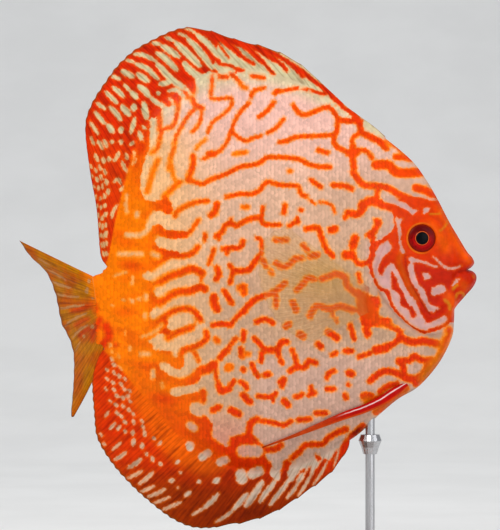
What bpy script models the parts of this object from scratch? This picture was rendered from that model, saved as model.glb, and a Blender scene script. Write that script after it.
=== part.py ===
"""A discus fish, as a still, life-size display model on a plain stand.

Metres, +Z up. The head points to +X and the fish's right side faces -Y.
The origin is the centre of the underside of the stand's base.
Outlines below are in millimetres, as (x, z) points seen from the side.
"""

import math

import bmesh
import bpy
import numpy as np

MM = 0.001
GAP = 0.3  # clearance between two neighbouring solids

# Outline of the flesh, without fins, from the upper lip over the back to the tail stalk.
BACK = [
    (63.4, 119.2), (64.2, 123.4), (61.6, 128.9), (57.2, 136.4), (52.9, 144.7), (48.6, 151.9),
    (43.6, 158.4), (34.2, 166.3), (21.6, 175.5), (3.6, 185.6), (-14.4, 190.6), (-32.4, 187.9),
    (-46.8, 178.9), (-55.1, 162.7), (-61.9, 138.6), (-66.0, 120.2), (-70.9, 116.5),
]
# The same from the lower lip under the chin, throat and belly to the tail stalk.
BELLY = [
    (63.4, 118.8), (64.4, 112.5), (59.2, 104.6), (59.0, 100.1), (58.2, 94.3), (53.6, 85.3),
    (46.4, 77.0), (38.9, 72.4), (32.4, 67.0), (21.6, 57.6), (1.8, 48.4), (-14.4, 46.4),
    (-27.0, 50.9), (-41.4, 61.9), (-58.3, 81.4), (-64.1, 88.2), (-67.5, 91.4),
]
# Half of the body's width at stations along its length.
HALF_WIDTH = [
    (-71.0, 1.3), (-67.0, 2.3), (-62.0, 3.7), (-54.0, 5.9), (-43.2, 8.6), (-28.8, 11.2),
    (-14.4, 12.9), (0.0, 13.9), (12.6, 14.1), (21.6, 13.7), (30.6, 12.8), (37.8, 11.6),
    (43.2, 10.4), (48.6, 8.9), (54.0, 7.1), (57.6, 5.7), (61.2, 4.4), (64.4, 3.3),
]
SECTION_POWER = 2.2
CREST_POWER = 0.68  # the back is sharper than the belly
KEEL_POWER = 0.56

# Free edges of the fins.
DORSAL_EDGE = [
    (34.2, 167.0), (28.8, 171.6), (20.5, 177.7), (13.0, 184.7), (3.2, 193.5), (-6.8, 198.7),
    (-18.4, 201.8), (-36.4, 206.4), (-52.6, 200.2), (-60.8, 194.0), (-66.2, 187.2),
    (-71.6, 178.6), (-73.8, 170.3), (-72.2, 155.0), (-69.8, 141.1), (-68.4, 124.9),
    (-65.9, 120.0),
]
ANAL_EDGE = [
    (21.6, 57.6), (20.6, 53.9), (15.5, 46.3), (9.0, 40.8), (-2.9, 32.8), (-10.1, 29.4),
    (-18.0, 27.3), (-32.4, 25.8), (-41.8, 28.8), (-51.5, 36.0), (-58.7, 42.8), (-64.8, 50.0),
    (-69.5, 58.3), (-70.6, 67.0), (-71.3, 79.2), (-69.4, 86.6), (-67.0, 90.4),
]
TAIL_EDGE = [
    (-99.0, 129.6), (-95.2, 123.9), (-89.5, 118.0), (-86.4, 110.5), (-85.1, 104.0), (-83.9, 98.6),
    (-81.2, 93.4), (-79.5, 87.4), (-79.3, 79.0), (-79.6, 72.5), (-80.0, 65.3), (-78.9, 65.1),
]
# Where each ray that starts at a share of the fin's base ends, as a share of its free edge.
DORSAL_LEAN = [
    (0.0, 0.0), (0.102, 0.135), (0.301, 0.334), (0.479, 0.497), (0.592, 0.593),
    (0.711, 0.661), (0.875, 0.735), (0.947, 0.794), (0.985, 0.89), (1.0, 1.0),
]
ANAL_LEAN = [
    (0.0, 0.0), (0.049, 0.087), (0.148, 0.225), (0.351, 0.427), (0.555, 0.606),
    (0.712, 0.723), (0.864, 0.832), (0.965, 0.935), (1.0, 1.0),
]
DORSAL_BASE_X = (34.2, -65.9)
ANAL_BASE_X = (21.6, -67.3)
FIN_ROOT = 1.05  # half thickness of the dorsal and anal fins at their base
FIN_EDGE = 0.27  # the same at their free edge
DORSAL_SPINES = 9
ANAL_SPINES = 7
SPINE_NOTCH = 0.9  # depth of the notch in the membrane between two spine tips
SPINE_SHORT = 8.0  # a ray shorter than this has a shallower notch
SOFT_COLUMNS = 26
SWEEP_START = 0.45  # share of the free edge from which a fin leans to the left
FIN_STEPS = (0.0, 0.3, 0.65, 1.0)  # rows of a dorsal or anal fin, from base to free edge
PLATE_STEPS = (0.0, 0.33, 0.66, 1.0)  # rows of the tail and pectoral fins
TAIL_COLUMNS = 18
TAIL_ROOT = 1.25
TAIL_TIP = 0.3
TAIL_INSET = 0.02  # share of the stalk's end left free above and below the tail fin
PAIRED_COLUMNS = 14
FIN_SWEEP = 2.5  # how far the rear of the dorsal and anal fins leans to the fish's left
BEND_START = -58.0
BEND_RATE = 0.0072
TAIL_SWING = (17.0, 25.0, 17.0)  # sideways swing at the upper tip, the middle, the lower tip

# Seam between head and trunk: nape, rear edge of the gill cover, throat.
GILL_SEAM = [
    (42.5, 166.4), (39.2, 156.6), (36.7, 144.0), (34.4, 130.3), (31.0, 121.7), (30.6, 113.8),
    (35.3, 105.8), (42.8, 99.0), (50.4, 95.8), (56.2, 97.2), (59.0, 101.4), (64.0, 103.4),
]
# Front edge of the gill cover, and corners that lie behind the seam.
GILL_FRONT = [
    (26.0, 125.0), (32.0, 129.3), (38.9, 129.2), (41.6, 126.0), (43.9, 119.5), (45.4, 112.3),
    (49.3, 106.6), (56.6, 102.6),
]
GILL_BEHIND = [(57.0, 93.0), (40.0, 89.0), (24.0, 104.0)]
GILL_PLATE_INNER = 3.5
STALK_SEAM_X = -61.5
# Cutters reach past the body: sideways, ahead of the snout, behind the tail's end.
CUT_SIDE = 30.0
CUT_AHEAD = [(90.0, 103.4), (90.0, 190.0), (42.5, 190.0)]
CUT_BEHIND = (-90.0, 60.0, 150.0)  # x, low z, high z

EYE_CENTRE = (47.0, 130.2)
EYE_OUT = 5.9
EYE_RADII = (6.1, 3.6, 6.1)
UPPER_LIP_CENTRE = (62.0, 122.1)
UPPER_LIP_RADII = (4.7, 4.3, 2.7)
LOWER_LIP_CENTRE = (62.6, 115.4)
LOWER_LIP_RADII = (4.6, 4.2, 3.4)

PECTORAL_BASE = (28.6, 108.2)
PECTORAL_BASE_HEIGHT = 8.0
PECTORAL_ANGLES = (144.0, 207.0)
PECTORAL_REACH = [(0.0, 38.0), (0.16, 42.5), (0.35, 41.5), (0.6, 37.0), (0.85, 30.0), (1.0, 24.0)]
PECTORAL_SPREAD = math.radians(20.0)
PECTORAL_HALF = 0.3
PELVIC_LINE = [(42.5, 78.2), (34.0, 74.0), (18.0, 67.0), (3.0, 60.3), (-10.0, 55.4)]
PELVIC_WIDTH = [(0.0, 1.6), (0.2, 3.4), (0.45, 2.9), (0.75, 1.5), (1.0, 0.5)]
PELVIC_HALF = 0.45
PELVIC_BOW = 0.4  # how far the middle of the pelvic fin stands off the body
PECTORAL_STAND_OFF = 3 * GAP

BASE_LENGTH = 132.0
BASE_WIDTH = 84.0
BASE_HEIGHT = 10.0
BASE_CORNER = 22.0
BASE_EDGE_ROUND = 1.6
CORNER_STEPS = 6
ROD_X = 28.8
ROD_RADIUS = 1.7
ROD_IN_BASE = 7.0
ROD_IN_BODY = 9.0
ROD_SEGMENTS = 24
BORE_PAST_BASE = 5.0
BORE_BELOW_BELLY = 8.0
COLLAR_PROFILE = [(3.4, 59.6), (4.2, 57.4), (3.2, 55.0), (2.5, 52.6)]  # radius, height
COLLAR_STEPS = 20
MERGE = 0.00001  # metres

FLESH_MIDDLE = (-3.0, 118.0)
RINGS = 7
STALK_END_STEPS = 4
RIM_BELOW = 100.0  # rim points lower than this belong to the belly
RIM_HALF = 0.3  # half thickness of the rim where no fin stands on it
RIM_SPACING_FACE = 3.4
RIM_SPACING_BODY = 6.0
FACE_SHARE = 0.27  # share of BACK and BELLY that counts as the face

COLOURS = {
    "skin": ((0.86, 0.36, 0.16), 0.42, 0.0),
    "face": ((0.85, 0.13, 0.03), 0.40, 0.0),
    "fin": ((0.84, 0.14, 0.03), 0.45, 0.0),
    "tail": ((0.72, 0.36, 0.05), 0.45, 0.0),
    "clear_fin": ((0.80, 0.55, 0.22), 0.35, 0.0),
    "eye": ((0.42, 0.01, 0.01), 0.10, 0.0),
    "wood": ((0.42, 0.25, 0.13), 0.45, 0.0),
    "steel": ((0.62, 0.62, 0.63), 0.25, 1.0),
}


def clear_scene():
    for obj in list(bpy.data.objects):
        bpy.data.objects.remove(obj, do_unlink=True)


def collection(name):
    made = bpy.data.collections.new(name)
    bpy.context.scene.collection.children.link(made)
    return made


def material(name):
    colour, roughness, metallic = COLOURS[name]
    made = bpy.data.materials.new(name)
    made.use_nodes = True
    shader = made.node_tree.nodes["Principled BSDF"]
    shader.inputs["Base Color"].default_value = (*colour, 1.0)
    shader.inputs["Roughness"].default_value = roughness
    shader.inputs["Metallic"].default_value = metallic
    return made


def dense_path(points, steps=24):
    """A Catmull-Rom curve through the points, as many short chords."""
    known = np.array(points, float)
    before = 2 * known[0] - known[1]
    after = 2 * known[-1] - known[-2]
    known = np.vstack([before, known, after])
    share = np.linspace(0.0, 1.0, steps, endpoint=False)[:, None]
    runs = []
    for a, b, c, d in zip(known, known[1:], known[2:], known[3:]):
        pull = 2 * a - 5 * b + 4 * c - d
        twist = 3 * b - a - 3 * c + d
        runs.append(0.5 * (2 * b + (c - a) * share + pull * share**2 + twist * share**3))
    runs.append(known[-2][None, :])
    return np.vstack(runs)


def lengths_along(path):
    steps = np.linalg.norm(np.diff(path, axis=0), axis=1)
    return np.concatenate([[0.0], np.cumsum(steps)])


def along(path, shares):
    """Points at the given shares of the path's length."""
    reach = lengths_along(path)
    at = np.asarray(shares) * reach[-1]
    return np.stack([np.interp(at, reach, path[:, axis]) for axis in range(path.shape[1])], axis=-1)


def smooth_values(pairs, at):
    """A smooth function through (position, value) pairs, positions rising."""
    path = dense_path(pairs)
    return np.interp(at, path[:, 0], path[:, 1])


def share_at_x(path, x):
    """Share of the path's length where it first passes x, going towards the tail."""
    reach = lengths_along(path)
    first = int(np.argmax(path[:, 0] <= x))
    return reach[first] / reach[-1]


BACK_PATH = dense_path(BACK)
BELLY_PATH = dense_path(BELLY)


def height_at(path, x):
    order = np.argsort(path[:, 0])
    return np.interp(x, path[order, 0], path[order, 1])


def flesh_half(x, z):
    """Half thickness of the flesh at a point of the side view."""
    top = height_at(BACK_PATH, x)
    bottom = height_at(BELLY_PATH, x)
    level = (z - (top + bottom) / 2) / np.maximum((top - bottom) / 2, 0.5)
    power = np.where(level > 0, CREST_POWER, KEEL_POWER)
    fullness = np.maximum(1 - np.abs(np.clip(level, -1, 1)) ** SECTION_POWER, 0.0)
    return smooth_values(HALF_WIDTH, x) * fullness**power


def sideways(x):
    """How far the tail end of the body bends to the fish's left."""
    return BEND_RATE * np.maximum(BEND_START - x, 0.0) ** 2


def rim_shares(length):
    """Shares along BACK or BELLY, closer together on the face."""
    face = int(round(FACE_SHARE * length / RIM_SPACING_FACE))
    rest = int(round((1 - FACE_SHARE) * length / RIM_SPACING_BODY))
    return np.concatenate([
        np.linspace(0.0, FACE_SHARE, face, endpoint=False),
        np.linspace(FACE_SHARE, 1.0, rest),
    ])


def rim_of_flesh():
    """The side outline as a closed ring of points, with the half thickness that each keeps."""
    back = along(BACK_PATH, rim_shares(lengths_along(BACK_PATH)[-1]))
    belly = along(BELLY_PATH, rim_shares(lengths_along(BELLY_PATH)[-1]))[::-1]
    stalk_end = np.linspace(back[-1], belly[0], STALK_END_STEPS + 2)[1:-1]
    ring = np.vstack([back, stalk_end, belly[:-1]])
    x = ring[:, 0]
    low = ring[:, 1] < RIM_BELOW
    finned = np.where(low, x < ANAL_BASE_X[0] + 1, x < DORSAL_BASE_X[0] + 1)
    return ring, np.where(finned, FIN_ROOT, RIM_HALF)


def add_object(name, verts, faces, where, finish):
    mesh = bpy.data.meshes.new(name)
    work = bmesh.new()
    points = [work.verts.new(tuple(float(v) * MM for v in vert)) for vert in verts]
    for face in faces:
        work.faces.new([points[index] for index in face])
    bmesh.ops.recalc_face_normals(work, faces=work.faces)
    work.to_mesh(mesh)
    work.free()
    return add_mesh(name, mesh, where, finish)


def add_mesh(name, mesh, where, finish):
    obj = bpy.data.objects.new(name, mesh)
    where.objects.link(obj)
    if finish:
        mesh.materials.clear()
        mesh.materials.append(finish)
        mesh.shade_smooth()
        mesh.set_sharp_from_angle(angle=math.radians(40))
    return obj


def hide_as_cutter(obj):
    obj.hide_render = True
    obj.display_type = "WIRE"
    return obj


def flesh_mesh(where):
    """The whole body without fins: two facing discs of rings joined round their rim."""
    rim, keep = rim_of_flesh()
    count = len(rim)
    centre = np.array(FLESH_MIDDLE)
    shares = np.sin(np.linspace(0.0, math.pi / 2, RINGS + 1))[1:]
    verts = []
    for side in (-1, 1):
        middle_half = flesh_half(centre[0], centre[1])
        verts.append((centre[0], side * middle_half, centre[1]))
        for share in shares:
            flat = centre + (rim - centre) * share
            half = np.cbrt(flesh_half(flat[:, 0], flat[:, 1]) ** 3 + keep**3)
            y = sideways(flat[:, 0]) + side * half
            verts.extend(zip(flat[:, 0], y, flat[:, 1]))
    faces = []
    side_size = 1 + RINGS * count
    for side in range(2):
        start = side * side_size
        for i in range(count):
            j = (i + 1) % count
            faces.append((start, start + 1 + i, start + 1 + j))
            for ring in range(RINGS - 1):
                inner = start + 1 + ring * count
                outer = inner + count
                faces.append((inner + i, outer + i, outer + j, inner + j))
    last = 1 + (RINGS - 1) * count
    for i in range(count):
        j = (i + 1) % count
        faces.append((last + i, last + j, side_size + last + j, side_size + last + i))
    return hide_as_cutter(add_object("flesh_whole", verts, faces, where, None))


def prism(name, outline, y_low, y_high, where):
    """A cutter: a side-view outline carried straight across the body."""
    mesh = bpy.data.meshes.new(name)
    work = bmesh.new()
    corners = [work.verts.new((x * MM, y_low * MM, z * MM)) for x, z in outline]
    cap = work.faces.new(corners)
    grown = bmesh.ops.extrude_face_region(work, geom=[cap])
    moved = [item for item in grown["geom"] if isinstance(item, bmesh.types.BMVert)]
    bmesh.ops.translate(work, verts=moved, vec=(0.0, (y_high - y_low) * MM, 0.0))
    bmesh.ops.recalc_face_normals(work, faces=work.faces)
    work.to_mesh(mesh)
    work.free()
    return hide_as_cutter(add_mesh(name, mesh, where, None))


def ellipsoid_mesh(name, centre, radii, grow=0.0, around=20, rings=12):
    mesh = bpy.data.meshes.new(name)
    work = bmesh.new()
    bmesh.ops.create_uvsphere(work, u_segments=around, v_segments=rings, radius=1.0)
    for vert in work.verts:
        # The poles of the sphere point sideways, along the eye's own axis.
        turned = (vert.co.x, vert.co.z, -vert.co.y)
        vert.co = [
            (centre[axis] + turned[axis] * (radii[axis] + grow)) * MM for axis in range(3)
        ]
    bmesh.ops.recalc_face_normals(work, faces=work.faces)
    work.to_mesh(mesh)
    work.free()
    return mesh


def boolean(obj, operation, cutter):
    modifier = obj.modifiers.new(operation.lower() + "_" + cutter.name, "BOOLEAN")
    modifier.operation = operation
    modifier.solver = "EXACT"
    modifier.object = cutter


def shifted(points, distance):
    """The path moved sideways, to its right as it is walked."""
    path = np.array(points, float)
    run = np.gradient(path, axis=0)
    run /= np.linalg.norm(run, axis=1)[:, None]
    return path + distance * np.stack([run[:, 1], -run[:, 0]], axis=1)


def slab(name, centres, halves, where, finish):
    """A thin closed plate round a grid of centre points, rows from root to edge."""
    rows, columns = halves.shape
    verts = []
    for side in (-1, 1):
        moved = centres.copy()
        moved[:, :, 1] += side * halves
        verts.extend(moved.reshape(-1, 3))
    size = rows * columns
    faces = []
    for side in (0, size):
        for row in range(rows - 1):
            for column in range(columns - 1):
                corner = side + row * columns + column
                faces.append((corner, corner + 1, corner + columns + 1, corner + columns))
    border = list(range(columns))
    border += [row * columns + columns - 1 for row in range(1, rows)]
    border += [(rows - 1) * columns + column for column in range(columns - 2, -1, -1)]
    border += [row * columns for row in range(rows - 2, 0, -1)]
    for a, b in zip(border, border[1:] + border[:1]):
        faces.append((a, b, size + b, size + a))
    return add_object(name, verts, faces, where, finish)


def median_fin(name, base_path, edge_path, lean, span, spines, where, finish):
    """Part of the dorsal or anal fin, between two shares of its free edge."""
    base_shares, edge_shares = np.array(lean).T
    if spines:
        columns = spines * 3 + 1
    else:
        columns = SOFT_COLUMNS
    edge_at = np.linspace(span[0], span[1], columns)
    base = along(base_path, np.interp(edge_at, edge_shares, base_shares))
    edge = along(edge_path, edge_at)
    ray = edge - base
    length = np.linalg.norm(ray, axis=1)[:, None]
    ray /= length
    if spines:
        notch = SPINE_NOTCH * np.minimum(1.0, length[:, 0] / SPINE_SHORT)
        edge = edge - ray * (notch * (np.arange(columns) % 3 > 0))[:, None]
    root = base + ray * np.minimum(GAP, 0.4 * length)
    out = np.array(FIN_STEPS)
    flat = root + (edge - root) * out[:, None, None]
    lag = np.clip((edge_at - SWEEP_START) / (1 - SWEEP_START), 0.0, 1.0) ** 2
    y = FIN_SWEEP * lag * out[:, None] + sideways(base[:, 0])
    centres = np.stack([flat[:, :, 0], y, flat[:, :, 1]], axis=-1)
    halves = np.repeat((FIN_ROOT + (FIN_EDGE - FIN_ROOT) * out**0.8)[:, None], columns, axis=1)
    return slab(name, centres, halves, where, finish)


def base_of_fin(path, span_x):
    shares = np.linspace(share_at_x(path, span_x[0]), share_at_x(path, span_x[1]), 120)
    return along(path, shares)


def tail_fin(where, finish):
    top = BACK_PATH[-1]
    bottom = BELLY_PATH[-1]
    share = np.linspace(0.0, 1.0, TAIL_COLUMNS)
    base = top + (bottom - top) * (TAIL_INSET + (1 - 2 * TAIL_INSET) * share)[:, None]
    base[:, 0] -= GAP
    edge = along(dense_path(TAIL_EDGE), share)
    out = np.array(PLATE_STEPS)
    flat = base + (edge - base) * out[:, None, None]
    swing = smooth_values(list(zip((0.0, 0.5, 1.0), TAIL_SWING)), share)
    y = sideways(base[:, 0]) + swing * out[:, None] ** 1.25
    centres = np.stack([flat[:, :, 0], y, flat[:, :, 1]], axis=-1)
    thin = TAIL_ROOT + (TAIL_TIP - TAIL_ROOT) * out**0.6
    halves = np.repeat(thin[:, None], TAIL_COLUMNS, axis=1)
    return slab("tail_fin", centres, halves, where, finish)


def pectoral_fin(name, side, where, finish):
    share = np.linspace(0.0, 1.0, PAIRED_COLUMNS)
    angle = np.radians(np.interp(share, (0, 1), PECTORAL_ANGLES))
    reach = smooth_values(PECTORAL_REACH, share)
    base_x = np.full(PAIRED_COLUMNS, PECTORAL_BASE[0])
    base_z = PECTORAL_BASE[1] + PECTORAL_BASE_HEIGHT * (0.5 - share)
    out = np.array(PLATE_STEPS)[:, None]
    x = base_x + reach * np.cos(angle) * out
    z = base_z + reach * np.sin(angle) * out
    start = flesh_half(base_x, base_z) + PECTORAL_STAND_OFF
    y = side * (start + reach * out * math.tan(PECTORAL_SPREAD))
    centres = np.stack([x, y, z], axis=-1)
    return slab(name, centres, np.full(x.shape, PECTORAL_HALF), where, finish)


def pelvic_fin(name, side, where, finish):
    share = np.linspace(0.0, 1.0, PAIRED_COLUMNS)
    line = along(dense_path(PELVIC_LINE), share)
    run = np.gradient(line, axis=0)
    run /= np.linalg.norm(run, axis=1)[:, None]
    up = np.stack([run[:, 1], -run[:, 0]], axis=1)
    width = smooth_values(PELVIC_WIDTH, share)
    across = np.array([-0.5, 0.0, 0.5])
    flat = line + up * width[:, None] * across[:, None, None]
    clear = GAP + PELVIC_HALF
    widest = flesh_half(flat[:, :, 0], flat[:, :, 1]).max(axis=0)
    off = widest + clear + PELVIC_BOW * np.sin(share * math.pi)
    y = side * np.tile(off, (len(across), 1))
    centres = np.stack([flat[:, :, 0], y, flat[:, :, 1]], axis=-1)
    return slab(name, centres, np.full(y.shape, PELVIC_HALF), where, finish)


def stalk_cutter(name, front_x, where):
    """A box round everything behind a place on the body's length."""
    rear_x, low, high = CUT_BEHIND
    box = [(rear_x, low), (front_x, low), (front_x, high), (rear_x, high)]
    return prism(name, box, -CUT_SIDE, CUT_SIDE, where)


def flesh_nodes(parts, cutters, finishes):
    """Head, trunk, tail stalk and gill covers, parted from one body by thin cuts."""
    whole = flesh_mesh(cutters)
    seam = dense_path(GILL_SEAM, 3)
    head_region = prism("head_region", list(map(tuple, seam)) + CUT_AHEAD, -CUT_SIDE, CUT_SIDE,
                        cutters)
    behind_seam = shifted(seam, GAP)
    wide_region = prism("head_clearance", list(map(tuple, behind_seam)) + CUT_AHEAD, -CUT_SIDE,
                        CUT_SIDE, cutters)
    gill_edge = dense_path(GILL_FRONT, 4)
    gill_outline = list(map(tuple, gill_edge)) + GILL_BEHIND
    gill_clear = list(map(tuple, shifted(gill_edge, -GAP))) + GILL_BEHIND
    stalk_region = stalk_cutter("stalk_region", STALK_SEAM_X, cutters)
    stalk_clear = stalk_cutter("stalk_clearance", STALK_SEAM_X + GAP, cutters)

    head = add_mesh("head", whole.data.copy(), parts, finishes["face"])
    boolean(head, "INTERSECT", head_region)
    trunk = add_mesh("trunk", whole.data.copy(), parts, finishes["skin"])
    boolean(trunk, "DIFFERENCE", wide_region)
    boolean(trunk, "DIFFERENCE", stalk_clear)
    stalk = add_mesh("tail_stalk", whole.data.copy(), parts, finishes["skin"])
    boolean(stalk, "INTERSECT", stalk_region)
    for name, side in (("right", -1), ("left", 1)):
        inner = side * GILL_PLATE_INNER
        outer = side * CUT_SIDE
        clear_inner = side * (GILL_PLATE_INNER - GAP)
        region = prism("gill_region_" + name, gill_outline, min(inner, outer),
                       max(inner, outer), cutters)
        cleared = prism("gill_clearance_" + name, gill_clear, min(clear_inner, outer),
                        max(clear_inner, outer), cutters)
        cover = add_mesh("gill_cover_" + name, whole.data.copy(), parts, finishes["face"])
        boolean(cover, "INTERSECT", head_region)
        boolean(cover, "INTERSECT", region)
        boolean(head, "DIFFERENCE", cleared)
    return head, trunk


def eyes(head, parts, cutters, finish):
    for name, side in (("right", -1), ("left", 1)):
        centre = (EYE_CENTRE[0], side * EYE_OUT, EYE_CENTRE[1])
        ball = ellipsoid_mesh("eye_" + name, centre, EYE_RADII)
        add_mesh("eye_" + name, ball, parts, finish)
        hollow = ellipsoid_mesh("socket_" + name, centre, EYE_RADII, GAP)
        socket = hide_as_cutter(add_mesh("socket_" + name, hollow, cutters, None))
        boolean(head, "DIFFERENCE", socket)


def lips(head, parts, cutters, finish):
    for name, centre, radii in (
        ("upper_lip", UPPER_LIP_CENTRE, UPPER_LIP_RADII),
        ("lower_lip", LOWER_LIP_CENTRE, LOWER_LIP_RADII),
    ):
        middle = (centre[0], 0.0, centre[1])
        add_mesh(name, ellipsoid_mesh(name, middle, radii, 0.0, 16, 10), parts, finish)
        room = ellipsoid_mesh(name + "_room", middle, radii, GAP, 16, 10)
        cutter = hide_as_cutter(add_mesh(name + "_room", room, cutters, None))
        boolean(head, "DIFFERENCE", cutter)


def cylinder(name, radius, low, high, where, finish, x=ROD_X):
    mesh = bpy.data.meshes.new(name)
    work = bmesh.new()
    bmesh.ops.create_cone(work, cap_ends=True, segments=ROD_SEGMENTS, radius1=radius * MM,
                          radius2=radius * MM, depth=(high - low) * MM)
    bmesh.ops.translate(work, verts=work.verts, vec=(x * MM, 0.0, (low + high) / 2 * MM))
    work.to_mesh(mesh)
    work.free()
    return add_mesh(name, mesh, where, finish)


def stand(trunk, parts, cutters, finishes):
    """A flat base, one rod up into the belly, and a collar under the belly."""
    belly = float(height_at(BELLY_PATH, ROD_X))
    half_x = BASE_LENGTH / 2 - BASE_CORNER
    half_y = BASE_WIDTH / 2 - BASE_CORNER
    outline = []
    for corner, (cx, cy) in enumerate(((1, 1), (-1, 1), (-1, -1), (1, -1))):
        for step in range(CORNER_STEPS + 1):
            angle = math.radians(90 * corner + 90 * step / CORNER_STEPS)
            outline.append((cx * half_x + BASE_CORNER * math.cos(angle),
                            cy * half_y + BASE_CORNER * math.sin(angle)))
    mesh = bpy.data.meshes.new("stand_base")
    work = bmesh.new()
    foot = work.faces.new([work.verts.new((x * MM, y * MM, 0.0)) for x, y in outline])
    grown = bmesh.ops.extrude_face_region(work, geom=[foot])
    lifted = [item for item in grown["geom"] if isinstance(item, bmesh.types.BMVert)]
    bmesh.ops.translate(work, verts=lifted, vec=(0.0, 0.0, BASE_HEIGHT * MM))
    bmesh.ops.recalc_face_normals(work, faces=work.faces)
    work.to_mesh(mesh)
    work.free()
    base = add_mesh("stand_base", mesh, parts, finishes["wood"])
    rounding = base.modifiers.new("rounded_edges", "BEVEL")
    rounding.width = BASE_EDGE_ROUND * MM
    rounding.segments = 2
    rounding.limit_method = "ANGLE"
    rounding.angle_limit = math.radians(60)

    rod_low = BASE_HEIGHT - ROD_IN_BASE
    rod_high = belly + ROD_IN_BODY
    cylinder("stand_rod", ROD_RADIUS, rod_low, rod_high, parts, finishes["steel"])
    bore = ROD_RADIUS + GAP
    in_base = cylinder("base_bore", bore, rod_low - GAP, BASE_HEIGHT + BORE_PAST_BASE, cutters,
                       None)
    in_body = cylinder("body_bore", bore, belly - BORE_BELOW_BELLY, rod_high + GAP, cutters, None)
    boolean(base, "DIFFERENCE", hide_as_cutter(in_base))
    boolean(trunk, "DIFFERENCE", hide_as_cutter(in_body))
    collar(parts, finishes["steel"])


def collar(parts, finish):
    """A turned ring round the rod, just below the belly."""
    inner = ROD_RADIUS + GAP
    top = COLLAR_PROFILE[0][1]
    bottom = COLLAR_PROFILE[-1][1]
    profile = [(inner, top), *COLLAR_PROFILE, (inner, bottom)]
    mesh = bpy.data.meshes.new("stand_collar")
    points = [(radius * MM, 0.0, height * MM) for radius, height in profile]
    count = len(points)
    mesh.from_pydata(points, [(i, (i + 1) % count) for i in range(count)], [])
    ring = add_mesh("stand_collar", mesh, parts, finish)
    ring.location.x = ROD_X * MM
    turn = ring.modifiers.new("turned", "SCREW")
    turn.steps = COLLAR_STEPS
    turn.render_steps = COLLAR_STEPS
    turn.use_merge_vertices = True
    turn.merge_threshold = MERGE
    turn.use_normal_calculate = True


def main():
    clear_scene()
    parts = collection("discus_fish")
    cutters = collection("cutters")
    finishes = {name: material(name) for name in COLOURS}
    head, trunk = flesh_nodes(parts, cutters, finishes)
    eyes(head, parts, cutters, finishes["eye"])
    lips(head, parts, cutters, finishes["face"])

    dorsal_base = base_of_fin(BACK_PATH, DORSAL_BASE_X)
    dorsal_edge = dense_path(DORSAL_EDGE)
    anal_base = base_of_fin(BELLY_PATH, ANAL_BASE_X)
    anal_edge = dense_path(ANAL_EDGE)
    fin = finishes["fin"]
    median_fin("dorsal_fin_spiny", dorsal_base, dorsal_edge, DORSAL_LEAN, (0.03, 0.44),
               DORSAL_SPINES, parts, fin)
    median_fin("dorsal_fin_soft", dorsal_base, dorsal_edge, DORSAL_LEAN, (0.4425, 0.985), 0,
               parts, fin)
    median_fin("anal_fin_spiny", anal_base, anal_edge, ANAL_LEAN, (0.04, 0.4), ANAL_SPINES,
               parts, fin)
    median_fin("anal_fin_soft", anal_base, anal_edge, ANAL_LEAN, (0.4035, 0.985), 0, parts, fin)
    tail_fin(parts, finishes["tail"])
    for name, side in (("right", -1), ("left", 1)):
        pectoral_fin("pectoral_fin_" + name, side, parts, finishes["clear_fin"])
        pelvic_fin("pelvic_fin_" + name, side, parts, fin)
    stand(trunk, parts, cutters, finishes)


main()
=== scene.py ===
"""The looks of the discus fish model: skin, scales, fins, eyes, stand, floor, lights, camera.

Shapes are in millimetres until a mesh is made. The head points to +X, up is +Z, and the
fish's right side faces the camera at -Y. The markings are laid out on a side-view plan
counted in steps of 0.36 mm, to the right and down.
"""

import math

import bpy
import numpy as np
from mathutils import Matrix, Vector
from mathutils.geometry import delaunay_2d_cdt


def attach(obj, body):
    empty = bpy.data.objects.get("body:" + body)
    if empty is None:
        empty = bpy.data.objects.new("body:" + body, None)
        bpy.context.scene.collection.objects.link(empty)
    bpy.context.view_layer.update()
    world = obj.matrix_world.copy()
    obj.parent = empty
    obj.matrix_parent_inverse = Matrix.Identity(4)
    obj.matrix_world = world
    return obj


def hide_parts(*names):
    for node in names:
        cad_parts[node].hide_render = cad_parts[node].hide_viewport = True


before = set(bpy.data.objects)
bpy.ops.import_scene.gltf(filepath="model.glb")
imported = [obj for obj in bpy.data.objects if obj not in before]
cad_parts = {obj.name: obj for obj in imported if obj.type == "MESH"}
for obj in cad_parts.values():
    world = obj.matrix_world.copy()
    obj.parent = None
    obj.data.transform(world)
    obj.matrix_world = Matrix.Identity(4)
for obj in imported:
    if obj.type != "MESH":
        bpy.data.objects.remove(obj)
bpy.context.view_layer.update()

MM = 0.001
RANDOM = np.random.default_rng(11)

# Body outline and widths, as in the CAD model.
BACK = [
    (61.6, 128.9), (57.2, 136.4), (52.9, 144.7), (48.6, 151.9), (43.6, 158.4), (34.2, 166.3),
    (21.6, 175.5), (3.6, 185.6), (-14.4, 190.6), (-32.4, 187.9), (-46.8, 178.9), (-55.1, 162.7),
    (-61.9, 138.6), (-66.0, 120.2), (-70.9, 116.5),
]
BELLY = [
    (59.2, 104.6), (59.0, 100.1), (58.2, 94.3), (53.6, 85.3), (46.4, 77.0), (38.9, 72.4),
    (32.4, 67.0), (21.6, 57.6), (1.8, 48.4), (-14.4, 46.4), (-27.0, 50.9), (-41.4, 61.9),
    (-58.3, 81.4), (-64.1, 88.2), (-67.5, 91.4),
]
UPPER_MUZZLE = [(64.0, 118.9), (65.4, 119.9), (66.3, 121.4), (65.5, 123.4), (63.9, 125.2)]
LOWER_MUZZLE = [(64.0, 118.9), (65.8, 118.3), (67.0, 116.9), (67.0, 115.0), (65.8, 112.6), (63.2, 109.6)]
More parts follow.
